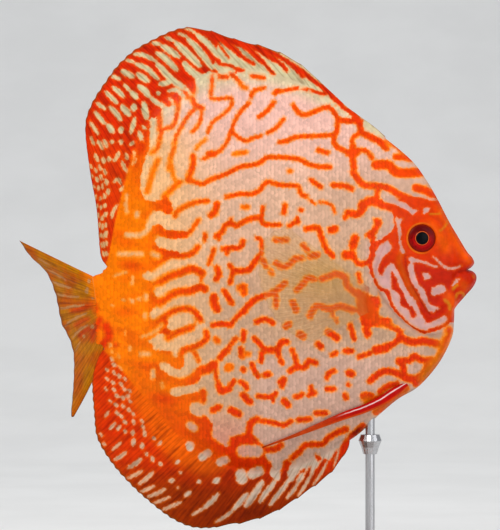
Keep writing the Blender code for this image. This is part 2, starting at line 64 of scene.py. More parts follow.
HALF_WIDTH = [
    (-71.0, 1.3), (-67.0, 2.3), (-62.0, 3.7), (-54.0, 5.9), (-43.2, 8.6), (-28.8, 11.2),
    (-14.4, 12.9), (0.0, 13.9), (12.6, 14.1), (21.6, 13.7), (30.6, 12.8), (37.8, 11.6),
    (43.2, 10.4), (48.6, 8.9), (54.0, 7.1), (57.6, 5.7), (61.2, 4.4), (64.4, 3.3), (68.0, 2.2),
]
SECTION_POWER = 2.2
CREST_POWER = 0.68
KEEL_POWER = 0.56
UPPER_LIP = ((62.0, 122.1), (4.7, 4.0, 2.7))
LOWER_LIP = ((62.6, 115.4), (4.6, 3.9, 3.4))
BEND_START = -58.0
BEND_RATE = 0.0072

# Fins, as in the CAD model.
DORSAL_EDGE = [
    (34.2, 167.0), (28.8, 171.6), (20.5, 177.7), (13.0, 184.7), (3.2, 193.5), (-6.8, 198.7),
    (-18.4, 201.8), (-36.4, 206.4), (-52.6, 200.2), (-60.8, 194.0), (-66.2, 187.2),
    (-71.6, 178.6), (-73.8, 170.3), (-72.2, 155.0), (-69.8, 141.1), (-68.4, 124.9),
    (-65.9, 120.0),
]
ANAL_EDGE = [
    (21.6, 57.6), (20.6, 53.9), (15.5, 46.3), (9.0, 40.8), (-2.9, 32.8), (-10.1, 29.4),
    (-18.0, 27.3), (-32.4, 25.8), (-41.8, 28.8), (-51.5, 36.0), (-58.7, 42.8), (-64.8, 50.0),
    (-69.5, 58.3), (-70.6, 67.0), (-71.3, 79.2), (-69.4, 86.6), (-67.0, 90.4),
]
TAIL_EDGE = [
    (-99.0, 129.6), (-95.2, 123.9), (-89.5, 118.0), (-86.4, 110.5), (-85.1, 104.0), (-83.9, 98.6),
    (-81.2, 93.4), (-79.5, 87.4), (-79.3, 79.0), (-79.6, 72.5), (-80.0, 65.3), (-78.9, 65.1),
]
DORSAL_LEAN = [
    (0.0, 0.0), (0.102, 0.135), (0.301, 0.334), (0.479, 0.497), (0.592, 0.593),
    (0.711, 0.661), (0.875, 0.735), (0.947, 0.794), (0.985, 0.89), (1.0, 1.0),
]
ANAL_LEAN = [
    (0.0, 0.0), (0.049, 0.087), (0.148, 0.225), (0.351, 0.427), (0.555, 0.606),
    (0.712, 0.723), (0.864, 0.832), (0.965, 0.935), (1.0, 1.0),
]
DORSAL_BASE_X = (34.2, -65.9)
ANAL_BASE_X = (21.6, -67.3)
DORSAL_SPINES = (9, 0.03, 0.44)  # count, and the shares of the free edge they lie between
ANAL_SPINES = (7, 0.04, 0.40)
SOFT_RAYS = 30
TAIL_RAYS = 16
FAR_FROM_EDGE = 9.0  # said of places that aren't near a free edge or rim
SPINE_NOTCH = 0.9
FIN_ROOT = 1.0
FIN_EDGE = 0.24
FIN_SWEEP = (2.5, 0.5)  # of the dorsal and the anal fin
TAIL_BOW = 4.6  # how far the lowest rays of the tail fin bow forwards
TAIL_SWING = [(0.0, 17.0), (0.5, 25.0), (1.0, 17.0)]

# Head features.
GILL_SEAM = [
    (42.5, 166.4), (39.2, 156.6), (36.7, 144.0), (34.4, 130.3), (31.0, 121.7), (30.6, 113.8),
    (35.3, 105.8), (42.8, 99.0), (50.4, 95.8), (56.2, 97.2), (59.0, 101.4), (64.0, 103.4),
]
EYE_CENTRE = (47.0, 130.15)
EYE_OUT = 5.9
EYE_RADII = (6.1, 3.6, 6.1)
EYE_LEAN = -0.17  # how far the ball's face turns with the head, in mm out for each mm forward
SOCKET_RADIUS = 4.85
LEVELLED = (10.0, 5.4)  # the skin levels with the ball between these radii
LID_OVER_BALL = 0.1

# Paired fins.
PECTORAL_BASE = (28.6, 108.2)
PECTORAL_BASE_HEIGHT = 8.0
PECTORAL_ANGLES = (144.0, 207.0)
PECTORAL_REACH = [(0.0, 38.0), (0.16, 42.5), (0.35, 41.5), (0.6, 37.0), (0.85, 30.0), (1.0, 24.0)]
PECTORAL_SPREAD = math.radians(20.0)
PELVIC_LINE = [
    (42.0, 78.0), (37.0, 74.8), (32.4, 71.9), (25.9, 69.1), (18.0, 66.4), (3.0, 60.3), (-10.0, 55.4),
]
PELVIC_WIDTH = [(0.0, 1.8), (0.1, 3.6), (0.25, 3.2), (0.45, 2.8), (0.75, 1.4), (1.0, 0.5)]

# Scales.
SCALE_STEP = 1.28  # along the body
SCALE_ROW = 1.5  # from row to row
SCALE_COAT = 0.3  # depth of the coat over the skin
BAKE_PATCH = 0.003
SCALE_MIDDLE = (0.42, 0.0)  # from the root, in mm
SCALE_SPAN = 2.1
SCALE_CORNERS = 12
SCALE_JITTER = 0.09
SCALE_OWN_COLOUR = 0.78  # share of a corner's own place in its colour; the root has the rest
BARE_STRIP = 0.8  # along the rims
BARE_BEHIND_GILL = 1.5
PECTORAL_PAD_RADII = (3.4, 5.0)

# The marking plan.
STEP = 0.36
PLAN_ORIGIN = (290.0, 600.0)
CELL = 0.5
PLAN_LEFT = 8.0
PLAN_TOP = 14.0
PLAN_COLUMNS = 960
PLAN_ROWS = 1040

# Regions where red or orange is the ground and the pale marks lie on it.
REAR_REGION = [
    (60, 0), (222, 0), (218, 36), (217, 52), (214, 64), (208, 72), (200, 76), (192, 80),
    (194, 88), (192, 97), (184, 98), (178, 104), (164, 108), (158, 116), (151, 120), (149, 150),
    (145, 158), (141, 175), (140, 190), (145, 200), (153, 202), (161, 200), (167, 196),
    (172, 204), (173, 213), (168, 215), (160, 210), (153, 212), (149, 219), (146, 228),
    (149, 233), (153, 226), (160, 224), (166, 230), (186, 231), (190, 234), (186, 238),
    (172, 239), (160, 236), (154, 240), (158, 247), (168, 250), (178, 251), (180, 257),
    (170, 259), (163, 263), (154, 270), (148, 271), (142, 275), (144, 280), (152, 281),
    (152, 288), (156, 296), (160, 301), (156, 306), (150, 312), (151, 320), (160, 320),
    (166, 316), (169, 322), (166, 328), (172, 330), (168, 336), (160, 333), (152, 338),
    (146, 342), (152, 343), (154, 350), (172, 351), (176, 358), (184, 358), (184, 366),
    (180, 370), (174, 368), (167, 363), (160, 362), (160, 368), (168, 374), (178, 379),
    (190, 377), (202, 376), (198, 384), (184, 386), (172, 388), (169, 393), (176, 397),
    (190, 393), (200, 392), (199, 402), (190, 404), (190, 412), (196, 417), (206, 414),
    (212, 424), (214, 432), (226, 448), (236, 440), (248, 436), (256, 446), (264, 450),
    (268, 466), (272, 478), (282, 478), (290, 482), (300, 486), (310, 483), (318, 474),
    (324, 470), (331, 462), (338, 456), (346, 442), (352, 438), (356, 450), (330, 560),
    (20, 560),
]
FACE_REGION = [
    (384, 199), (392, 210), (394, 222), (394, 228), (391, 232), (384, 237), (378, 241),
    (370, 240), (370, 250), (369, 258), (369, 266), (370, 273), (373, 280), (376, 286),
    (380, 291), (386, 293), (388, 299), (390, 305), (394, 311), (400, 317), (406, 323),
    (412, 328), (418, 331.5), (424, 334), (432, 332.5), (440, 329.5), (447, 325.5), (453, 321),
    (458, 330), (500, 320), (500, 180), (440, 196), (415, 197), (396, 199),
]
PECTORAL_REGION = [
    (357, 287), (364, 292), (377, 299), (378, 318), (392, 318), (400, 328), (404, 336),
    (396, 332), (376, 327), (362, 326), (357, 310),
]

# Red lines and spots on the pale ground: half width, then points, all in plan steps.
UPPER_LINES = [
    (1.8, (212, 76), (212, 88), (211, 98), (220, 99), (231, 98), (231, 106), (224, 114),
     (213, 122), (208, 132)),
    (2.0, (249, 103), (241, 111), (236, 119), (232, 130), (238, 137), (246, 141), (253, 138), (261, 136)),
    (2.0, (231, 131), (228, 140), (221, 150), (213, 154), (203, 159)),
    (3.4, (209, 154), (214, 154)),
    (2.6, (181, 90), (187, 96), (192, 98), (195, 105), (202, 108)),
    (2.2, (193, 80), (194, 90), (191, 97)),
    (1.8, (202, 109), (201, 118), (198, 126), (192, 132)),
    (1.9, (195, 109), (188, 116), (182, 126), (176, 137), (174, 148), (171, 157), (169, 169)),
    (2.0, (174, 94), (178, 104), (177, 115), (173, 126), (163, 130), (160, 138), (158, 147), (152, 153)),
    (2.4, (155, 107), (159, 114), (160, 130)),
    (2.2, (158, 160), (153, 172), (149, 186), (147, 192)),
    (3.0, (193, 156), (193, 165), (190, 174), (188, 180)),
    (2.4, (187, 180), (195, 182), (202, 184), (212, 179), (226, 174), (240, 167), (257, 164), (266, 158)),
    (2.4, (266, 158), (275, 157), (298, 159), (308, 164), (320, 167)),
    (2.6, (322, 167), (330, 167)),
    (2.4, (226, 197), (240, 194), (252, 194), (260, 190), (267, 182), (280, 185), (297, 186), (300, 192)),
    (2.6, (302, 195), (306, 196)),
    (1.6, (310, 200), (315, 204)),
    (1.6, (320, 202), (327, 203), (332, 206), (335, 213)),
    (2.0, (277, 92), (288, 90), (300, 88), (312, 91), (323, 94), (326, 92)),
    (2.8, (275, 93), (278, 91)),
    (2.1, (251, 97), (254, 91), (264, 88)),
    (2.3, (274, 102), (268, 110), (259, 117)),
    (2.1, (284, 119), (277, 127), (268, 133)),
    (2.4, (293, 105), (297, 111), (304, 115), (316, 111), (327, 107), (333, 111), (338, 119)),
    (2.6, (338, 119), (337, 130), (334, 139), (336, 146), (345, 151), (351, 156)),
    (2.3, (279, 142), (287, 141), (296, 137), (316, 136), (333, 135)),
    (2.5, (318, 150), (328, 153)),
    (2.6, (311, 180), (321, 187)),
    (2.9, (333, 185), (345, 186), (352, 189)),
    (2.1, (289, 171), (291, 171)),
    (2.1, (234, 154), (246, 152)),
    (2.1, (231, 74), (238, 80), (243, 87), (246, 88)),
    (2.4, (220, 77), (227, 77)),
    (2.2, (252, 76), (264, 78)),
    (2.2, (237, 69), (243, 71)),
    (1.5, (206, 139), (200, 144), (196, 149)),
    (2.6, (180, 182), (172, 189), (164, 197)),
    (1.5, (172, 166), (174, 178), (178, 184)),
]
NAPE_LINES = [
    (3.0, (338, 120), (348, 121), (358, 122), (361, 131)),
    (2.2, (342, 107), (352, 113), (361, 121)),
    (3.4, (361, 132), (370, 137), (380, 142), (386, 148)),
    (2.4, (352, 142), (354, 137), (361, 132)),
    (3.2, (353, 146), (353, 160), (354, 168)),
    (4.4, (350, 153), (356, 152)),
    (2.4, (356, 150), (366, 151), (372, 158)),
    (4.8, (376, 165), (388, 165), (396, 172), (408, 173), (421, 172)),
    (3.4, (353, 172), (357, 178), (364, 185), (376, 186), (388, 188), (398, 194), (410, 199)),
    (3.0, (378, 190), (377, 197)),
    (4.6, (362, 205), (372, 201), (384, 205), (396, 208)),
    (3.8, (348, 213), (358, 214), (364, 207)),
    (2.6, (345, 218), (347, 214)),
    (2.4, (384, 142), (394, 145), (401, 150)),
    (3.4, (396, 157), (404, 157), (411, 159)),
    (4.2, (416, 188), (424, 190), (434, 195)),
]
MIDDLE_LINES = [
    (2.4, (175, 216), (178, 211), (186, 206), (197, 202), (208, 201)),
    (3.4, (217, 204), (215, 212), (211, 215)),
    (2.2, (199, 220), (195, 225), (191, 231), (186, 235)),
    (2.9, (198, 247), (194, 252), (188, 255), (178, 256), (170, 255), (160, 262), (152, 268)),
    (2.3, (205, 234), (205, 240)),
    (2.3, (214, 249), (212, 256), (209, 264)),
    (3.2, (217, 268), (219, 274), (216, 279)),
    (3.9, (202, 273), (196, 270), (190, 269), (180, 273), (170, 276), (160, 282), (150, 288)),
    (2.0, (203, 274), (201, 280)),
    (4.0, (205, 289), (200, 287), (190, 291), (178, 292), (168, 297), (160, 303)),
    (3.0, (201, 320), (196, 313), (190, 309), (180, 309), (172, 312), (164, 317), (156, 323)),
    (3.1, (193, 321), (192, 327), (184, 330), (176, 333), (168, 338)),
    (4.3, (214, 297), (214, 303), (217, 309)),
    (3.0, (224, 291), (228, 297), (232, 303)),
    (3.0, (213, 325), (222, 324), (231, 325)),
    (2.6, (231, 325), (235, 319), (240, 314), (247, 306), (253, 300)),
    (2.7, (216, 236), (222, 232), (225, 226), (231, 223), (236, 226), (243, 222), (253, 218), (261, 218)),
    (2.4, (261, 218), (264, 224), (280, 225)),
    (2.2, (262, 216), (263, 207)),
    (2.2, (219, 239), (219, 236)),
    (2.0, (231, 219), (231, 222)),
    (2.8, (223, 249), (230, 248), (238, 248), (242, 245), (243, 241)),
    (2.0, (228, 250), (227, 254)),
    (2.6, (230, 265), (233, 270), (232, 276), (230, 283)),
    (3.2, (234, 271), (248, 270), (254, 263), (259, 257)),
    (2.4, (262, 250), (260, 258)),
    (3.0, (263, 260), (266, 266)),
    (2.6, (271, 271), (272, 274)),
    (3.6, (240, 288), (244, 287), (244, 293)),
    (2.4, (289, 226), (294, 223)),
    (2.8, (297, 219), (298, 222)),
    (2.7, (285, 205), (284, 213)),
    (2.2, (300, 210), (302, 210)),
    (2.2, (243, 207), (248, 207)),
    (3.0, (306, 229), (318, 228), (321, 236), (324, 243), (327, 250), (333, 256)),
    (3.9, (331, 230), (335, 229)),
    (2.9, (275, 240), (287, 240)),
    (2.3, (257, 238), (261, 240), (262, 247)),
    (2.8, (303, 245), (307, 250)),
    (3.6, (311, 256), (317, 255)),
    (3.1, (276, 263), (283, 267), (290, 264), (295, 259), (302, 258)),
    (4.3, (355, 238), (353, 246)),
    (4.7, (346, 255), (352, 255)),
    (2.8, (354, 258), (359, 264), (366, 263), (371, 260)),
    (4.0, (377, 219), (378, 226), (372, 234)),
    (3.0, (368, 235), (373, 238)),
]
LOWER_LINES = [
    (3.1, (297, 290), (304, 283), (308, 278), (314, 279)),
    (3.4, (322, 279), (330, 276), (336, 274), (345, 277), (347, 285), (353, 291), (360, 297)),
    (2.4, (358, 274), (360, 282)),
    (3.3, (310, 316), (313, 310), (318, 306), (330, 309), (340, 306), (353, 310)),
    (2.1, (332, 311), (333, 316)),
    (2.0, (336, 319), (337, 322)),
    (3.6, (293, 303), (296, 310)),
    (3.2, (285, 283), (278, 289), (270, 294), (258, 298), (248, 306), (244, 312)),
    (3.0, (276, 296), (276, 306)),
    (2.9, (256, 322), (264, 319), (270, 321), (273, 323)),
    (3.5, (286, 326), (289, 324)),
    (3.9, (300, 334), (303, 336)),
    (3.8, (328, 332), (333, 335), (337, 338)),
    (2.8, (350, 325), (352, 332), (354, 339)),
    (4.2, (366, 329), (368, 334)),
    (3.3, (318, 344), (321, 347)),
    (3.0, (244, 332), (243, 340)),
    (2.8, (254, 338), (260, 344), (264, 349)),
    (3.5, (264, 350), (278, 350)),
    (3.2, (278, 348), (282, 342), (287, 342)),
    (3.0, (262, 353), (261, 361)),
    (2.6, (278, 352), (279, 357)),
    (2.8, (281, 361), (282, 363)),
    (3.3, (241, 349), (242, 356)),
    (2.3, (247, 354), (249, 354)),
    (3.0, (243, 369), (244, 370)),
    (2.8, (252, 364), (254, 370), (258, 376)),
    (3.3, (265, 375), (269, 374)),
    (2.9, (241, 382), (244, 384), (247, 388)),
    (3.7, (243, 395), (250, 402)),
    (2.7, (258, 396), (266, 397), (273, 396), (276, 393)),
    (2.2, (273, 396), (273, 401)),
    (3.0, (280, 382), (284, 379), (282, 386)),
    (2.6, (292, 350), (295, 357), (297, 366)),
    (3.1, (290, 371), (297, 367), (305, 367), (309, 361), (316, 363)),
    (3.6, (284, 401), (288, 405)),
    (2.7, (295, 397), (300, 396), (302, 394)),
    (2.7, (311, 387), (312, 393), (315, 393), (309, 395)),
    (2.7, (327, 378), (329, 373), (334, 371)),
    (3.9, (349, 373), (352, 374)),
    (2.3, (348, 384), (349, 385)),
    (2.8, (327, 389), (334, 389)),
    (2.9, (345, 395), (346, 398)),
    (4.2, (364, 396), (370, 396)),
    (8.0, (364, 300), (368, 312)),
    (5.0, (374, 296), (378, 316)),
    (2.7, (332, 355), (336, 353)),
    (3.1, (345, 351), (352, 351)),
    (2.7, (359, 357), (370, 353)),
    (4.6, (376, 350), (386, 348)),
    (4.3, (388, 346), (398, 339), (402, 334)),
    (4.1, (402, 338), (412, 342), (424, 341), (438, 344)),
    (3.2, (370, 381), (372, 380)),
    (3.6, (372, 379), (380, 373), (388, 371), (396, 373), (404, 377)),
    (3.6, (399, 361), (403, 366), (404, 376)),
    (3.4, (400, 361), (410, 360), (414, 356), (422, 360), (432, 360)),
    (4.2, (404, 377), (414, 379), (424, 374), (428, 366)),
    (3.0, (316, 413), (326, 413)),
    (2.8, (298, 420), (310, 419)),
    (2.7, (262, 421), (270, 422), (284, 425), (291, 421)),
    (3.5, (257, 419), (251, 423), (249, 432), (250, 438)),
    (3.6, (249, 436), (240, 438), (230, 441)),
    (2.8, (252, 437), (258, 444), (264, 449)),
    (3.2, (266, 450), (275, 449), (281, 445)),
    (4.2, (230, 462), (250, 463), (262, 461), (268, 466)),
    (3.5, (346, 429), (338, 432)),
    (3.1, (338, 432), (328, 438), (322, 444), (306, 445), (300, 451), (292, 458)),
    (4.4, (287, 464), (284, 478)),
    (2.3, (317, 456), (319, 459)),
    (3.3, (351, 436), (358, 430), (363, 426)),
    (3.0, (206, 332), (207, 338), (202, 343), (194, 347), (184, 350), (181, 355)),
    (3.3, (228, 350), (224, 353), (220, 358)),
    (2.4, (229, 347), (233, 342), (236, 338)),
    (2.9, (216, 339), (218, 341)),
    (3.8, (228, 368), (230, 367)),
    (2.9, (231, 385), (234, 381)),
    (3.5, (219, 385), (221, 391), (229, 389)),
    (3.6, (203, 392), (203, 400)),
    (3.9, (231, 410), (239, 414)),
    (3.4, (213, 410), (219, 407)),
    (2.0, (194, 352), (197, 357), (199, 361)),
    (4.6, (213, 365), (208, 369), (200, 371), (190, 377), (178, 381)),
    (2.2, (216, 362), (216, 374), (218, 384)),
    (4.0, (449, 330), (441, 354), (430, 372), (416, 383)),
    (3.2, (380, 392), (388, 386), (397, 384)),
    (3.4, (406, 389), (396, 399), (386, 406), (376, 412)),
    (2.4, (366, 402), (374, 399), (382, 396)),
]
FIN_LINES = [
    (2.6, (205, 43), (211, 51), (215, 57), (220, 64)),
    (1.8, (220, 64), (231, 66), (237, 70)),
    (1.3, (214, 39), (220, 46), (225, 53), (229, 58)),
    (4.4, (208, 34), (219, 38), (229, 42)),
    (3.1, (226, 44), (234, 49), (240, 55)),
    (2.2, (240, 55), (247, 60), (254, 64)),
    (4.2, (230, 41), (240, 43), (250, 46)),
    (3.0, (244, 47), (251, 51), (258, 58), (264, 63)),
    (1.9, (264, 63), (269, 69), (274, 74)),
    (4.0, (248, 44), (256, 47), (262, 51)),
    (3.0, (262, 52), (270, 57), (277, 61)),
    (2.2, (277, 61), (283, 66), (287, 71)),
    (2.8, (262, 49), (272, 53), (280, 57)),
    (2.4, (280, 57), (288, 62), (296, 69), (303, 77)),
    (2.6, (288, 62), (300, 70), (310, 78), (318, 84)),
    (2.8, (318, 84), (326, 90), (333, 97), (342, 105)),
    (2.2, (203, 62), (209, 68), (216, 72)),
    (3.4, (285, 478), (278, 490), (268, 503), (256, 514)),
    (2.0, (304, 470), (297, 478)),
    (3.2, (297, 480), (288, 491), (278, 501), (266, 510)),
    (3.0, (311, 469), (305, 480), (297, 491), (288, 500)),
    (3.0, (325, 461), (318, 471), (310, 482), (300, 493)),
    (1.6, (337, 451), (331, 461)),
    (2.6, (330, 462), (324, 471), (316, 481)),
    (2.6, (347, 439), (342, 449), (337, 459), (331, 468)),
]

# Pale marks on the red and orange regions.
FACE_MARKS = [
    (1.3, (411, 194), (416, 194.5), (424, 197), (431, 199), (438, 200)),
    (1.25, (433, 256.5), (437, 260), (441, 264), (445, 267), (450, 268.5), (456, 268), (461, 265.5)),
    (1.2, (428, 264), (433, 266), (438, 267)),
    (2.0, (428, 337), (436, 336), (445, 334)),
    (4.8, (410, 371), (418, 369)),
]
# Closed outlines of the broader pale marks of the face, and red islands in them.
FACE_AREAS = [
    [(388, 240), (391, 244), (392, 248), (390, 251), (387, 254), (383, 257), (381, 261), (379, 266),
     (378, 271), (380, 275), (382, 276), (384, 271), (386, 267), (389, 265), (391, 262.5),
     (394, 264.5), (395.5, 268), (399, 273), (401, 278), (404, 284), (407, 290), (410, 295),
     (414, 299), (417, 304), (419, 309), (421, 314), (424, 318), (426, 323), (430, 323),
     (434, 320.5), (439, 318.5), (442, 316.5), (445, 315), (447.5, 318), (447, 321), (441, 325),
     (434, 327.5), (429, 328.5), (427, 331), (424, 330.5), (419, 329), (414, 326.5), (409, 323),
     (405, 319), (401, 314.5), (398, 311), (395, 307), (392.5, 303), (391, 298), (390.5, 294),
     (389, 290), (384, 288.5), (380.5, 287), (378, 284), (377, 280), (374.5, 277), (373, 271),
     (372, 264), (374, 259), (376, 251), (379, 246), (383, 243)],
    [(408, 258), (411, 256.5), (415, 258.3), (420, 260), (425, 261), (430, 263.5), (434, 265.5),
     (428, 265.5), (424, 263.5), (420, 262.8), (415, 262), (413.5, 263), (413.8, 268), (415, 274),
     (416.5, 279), (419, 285), (423.5, 288.5), (425.5, 293), (427.5, 299), (429, 303), (431, 305),
     (435, 306.5), (439, 307), (440, 308.5), (436, 310), (434, 312.5), (431, 312), (428, 310.5),
     (426, 307), (424, 302), (421, 298), (419, 293), (417, 289), (414, 286), (411, 281), (410, 277),
     (409, 272), (407.5, 268), (408.5, 265), (410, 262)],
    [(396.5, 216), (398.5, 219), (401, 218), (403.5, 218.5), (401, 221.5), (400, 224), (401, 230),
     (401.3, 236), (401, 241), (402, 246), (404, 250), (405.5, 253), (402.5, 254), (400.3, 251),
     (399.5, 246), (398.7, 241), (398.3, 235), (397.8, 229), (396.3, 224), (395, 220)],
    [(380, 191.5), (385, 192), (388, 194.5), (392, 197), (396, 199), (400, 201.5), (405, 202.5),
     (409, 206), (412, 209), (417, 209.5), (418, 211), (415, 213), (413, 215.5), (411, 214),
     (408, 211), (404, 209), (399, 206.5), (394, 204), (388, 203), (384, 202), (382, 199),
     (379, 196)],
    [(423, 208), (428, 207.5), (430, 208.5), (429, 211), (425, 214.5), (423, 213)],
    [(422, 273), (428.5, 273), (431, 278), (428, 279), (425, 280), (423.5, 277)],
    [(432, 288), (437, 286), (441, 284), (444, 286), (447, 290), (443, 293.5), (439, 294), (434, 296),
     (431, 294.5)],
    [(454, 281), (456, 279), (459.5, 278), (458, 282), (455.5, 286), (454, 288), (452, 287),
     (452.5, 284)],
    [(356, 219), (363, 219), (366, 213), (368, 209), (375, 208), (379, 211), (385, 212), (389, 216),
     (391, 222), (391, 227), (387, 229), (384, 232), (380, 236), (377, 238), (376, 235), (378, 230),
     (381, 226), (383, 222), (381, 219), (376, 218), (373, 218), (372, 222), (371, 228), (366, 231),
     (356, 233)],
    [(356, 285), (360, 284), (368, 284), (374, 283), (377, 288), (379, 293), (378, 297), (372, 296),
     (366, 293), (362, 290)],
    [(384, 301), (388, 303), (388, 309), (385, 316), (380, 317), (378.5, 312), (380, 306)],
    [(391, 313), (396, 316), (400, 321), (400.5, 326), (395, 326), (392, 323), (391, 318)],
    [(375, 329), (381, 326.5), (386, 328), (392, 331), (397, 335), (393, 341), (384, 343),
     (374, 342), (370, 337)],
    [(404, 329), (409, 329), (415, 332), (420, 335), (416, 338), (408, 337), (403, 334)],
]
FACE_ISLANDS = [
    [(390.8, 271), (393, 272), (395, 276), (398, 280), (398, 285), (401, 289), (404, 293), (405, 298),
     (407, 301), (409, 305), (413, 307), (415, 311), (417, 316), (414, 318.5), (411, 318),
     (410, 314), (409, 310), (405, 308), (401, 306), (400, 302), (400, 296), (397, 292),
     (392, 289.5), (391.5, 285), (391, 280)],
]
# Thin golden lines of the head; the short one on the lower lip is a painted highlight on the lip's fold.
GOLD_LINES_AND_LIP_HIGHLIGHT = [
    (0.9, (430, 214), (437, 214), (441, 212.5), (443.5, 209)),
    (0.9, (440, 231), (444, 227.5), (446.5, 223.5), (448.5, 220)),
    (1.0, (456, 297), (457, 294), (461, 292.5), (464, 294.5), (464.5, 299), (461, 303)),
    # A painted highlight along the fold of the lower lip.
    (0.8, (471.5, 273), (473.5, 275), (474, 278)),
    (1.4, (453, 289), (455, 287), (457, 285)),
    (1.6, (445, 300), (449, 304), (450, 309)),
]
# Painted shade: dark lines in the creases where the skin folds in.
CREASE_SHADE_LINES = [
    (0.9, (469, 270), (464, 270.5), (459, 272)),
    (0.8, (371, 297), (374, 297), (377, 296.5)),
    (0.7, (405, 256), (406.5, 268), (410, 280), (417, 294), (424, 306), (430, 314)),
]
REAR_MARKS = [
    (1.6, (134, 152), (135, 160), (133, 164)),
    (2.3, (127, 195), (126, 204), (127, 212)),
    (3.2, (137, 213), (137, 216)),
    (3.4, (127, 235), (140, 235), (147, 230), (150, 221), (154, 215)),
    (3.0, (158, 239), (164, 243), (174, 246), (184, 246)),
    (3.1, (119, 254), (130, 254), (142, 254)),
    (3.1, (153, 254), (158, 256)),
    (3.2, (145, 276), (152, 275), (158, 271), (166, 266), (176, 263)),
    (1.8, (114, 276), (120, 274), (126, 272)),
    (2.0, (133, 277), (132, 284)),
    (2.8, (157, 289), (163, 294)),
    (2.9, (158, 289), (166, 287), (172, 283), (180, 284), (187, 283), (194, 278), (197, 281)),
    (2.4, (131, 300), (133, 302)),
    (1.9, (123, 300), (124, 300)),
    (2.1, (138, 299), (140, 299)),
    (2.7, (146, 295), (146, 299)),
    (1.6, (112, 305), (113, 306)),
    (2.4, (145, 314), (145, 318)),
    (2.8, (153, 316), (160, 311), (168, 306), (176, 302), (186, 301)),
    (3.0, (172, 319), (173, 325)),
    (3.4, (172, 319), (180, 317), (188, 318), (192, 321)),
    (1.9, (142, 337), (150, 334), (157, 330), (162, 325)),
    (1.5, (125, 332), (125, 334)),
    (3.2, (157, 346), (170, 346), (175, 342), (186, 339), (196, 336)),
    (2.2, (173, 346), (174, 355)),
    (2.9, (141, 354), (149, 354)),
    (1.9, (130, 347), (130, 350)),
    (3.6, (163, 365), (168, 368), (174, 373), (181, 375), (188, 372), (194, 366)),
    (2.8, (153, 371), (153, 377)),
    (1.9, (162, 383), (163, 387)),
    (3.5, (173, 392), (181, 390), (191, 389), (200, 385), (208, 382)),
    (5.0, (195, 407), (200, 412)),
    (4.2, (190, 425), (194, 428)),
    (4.3, (190, 445), (190, 447)),
    (4.1, (202, 457), (208, 453)),
    (4.4, (220, 462), (225, 460)),
    (5.6, (217, 434), (224, 439)),
    (6.2, (243, 451), (257, 451)),
    (5.6, (241, 474), (242, 479)),
    (5.2, (252, 474), (259, 471)),
    (4.6, (276, 459), (283, 455)),
    (3.2, (278, 465), (277, 478)),
    (1.8, (110, 344), (111, 346)),
]
DORSAL_MARKS = [
    (1.2, (184, 28), (190, 30), (197, 34)),
    (2.8, (197, 35), (205, 41), (212, 48), (217, 56)),
    (1.4, (178, 33), (187, 37)),
    (3.0, (188, 39), (196, 47), (205, 58), (212, 68)),
    (1.6, (165, 37), (174, 41)),
    (3.2, (176, 43), (184, 50), (192, 58), (200, 66)),
    (1.9, (152, 43), (160, 44)),
    (2.8, (162, 46), (169, 50), (179, 57)),
    (2.0, (134, 54), (143, 55), (152, 59), (156, 61)),
    (2.8, (157, 53), (165, 58), (172, 65), (177, 70)),
    (1.5, (126, 60), (134, 62)),
    (2.4, (136, 64), (146, 68), (152, 73), (158, 79)),
    (3.2, (184, 63), (190, 70), (198, 76), (206, 79)),
    (3.0, (157, 64), (163, 70), (170, 78), (178, 84), (186, 89)),
    (2.6, (160, 84), (166, 83), (172, 80)),
    (1.5, (186, 88), (191, 95)),
    (2.0, (168, 91), (177, 90), (183, 96), (185, 103)),
    (1.5, (169, 97), (175, 106)),
    (2.0, (158, 92), (159, 94)),
    (1.9, (112, 76), (120, 79)),
    (2.7, (122, 71), (128, 74), (133, 77)),
    (2.9, (138, 74), (143, 78), (148, 81)),
    (2.2, (113, 87), (119, 92), (124, 97)),
    (1.7, (124, 84), (130, 91)),
    (2.7, (131, 92), (137, 98)),
    (3.0, (139, 86), (145, 91), (149, 96)),
    (2.2, (150, 97), (156, 102), (163, 106), (168, 112)),
    (2.1, (106, 92), (112, 98), (117, 103)),
    (1.8, (97, 103), (105, 109)),
    (2.4, (110, 107), (116, 113), (121, 120)),
    (2.9, (122, 106), (125, 110), (129, 115)),
    (2.9, (134, 105), (134, 110)),
    (3.0, (144, 103), (145, 110), (147, 118)),
    (2.0, (95, 112), (100, 118), (105, 124)),
    (2.8, (108, 125), (113, 132)),
    (2.7, (121, 128), (121, 132)),
    (2.2, (135, 118), (133, 125), (131, 133)),
    (1.7, (90, 122), (94, 128), (98, 134)),
    (1.3, (91, 137), (94, 145)),
    (1.8, (98, 141), (103, 149)),
    (1.9, (104, 140), (107, 147)),
    (2.1, (112, 141), (112, 143)),
    (2.8, (121, 141), (121, 143)),
    (1.6, (142, 126), (146, 129)),
    (2.5, (139, 132), (142, 140)),
    (2.6, (152, 122), (154, 131), (152, 143)),
    (1.6, (130, 145), (134, 142)),
    (1.6, (95, 154), (98, 161)),
    (1.8, (103, 158), (104, 163)),
    (1.8, (109, 157), (109, 161)),
    (1.8, (119, 152), (117, 157), (114, 161)),
    (1.8, (126, 153), (127, 159)),
    (1.7, (122, 161), (124, 167), (127, 172)),
    (1.5, (114, 182), (118, 179), (121, 184)),
    (1.6, (123, 187), (120, 191)),
    (1.5, (117, 205), (113, 212), (112, 218)),
]
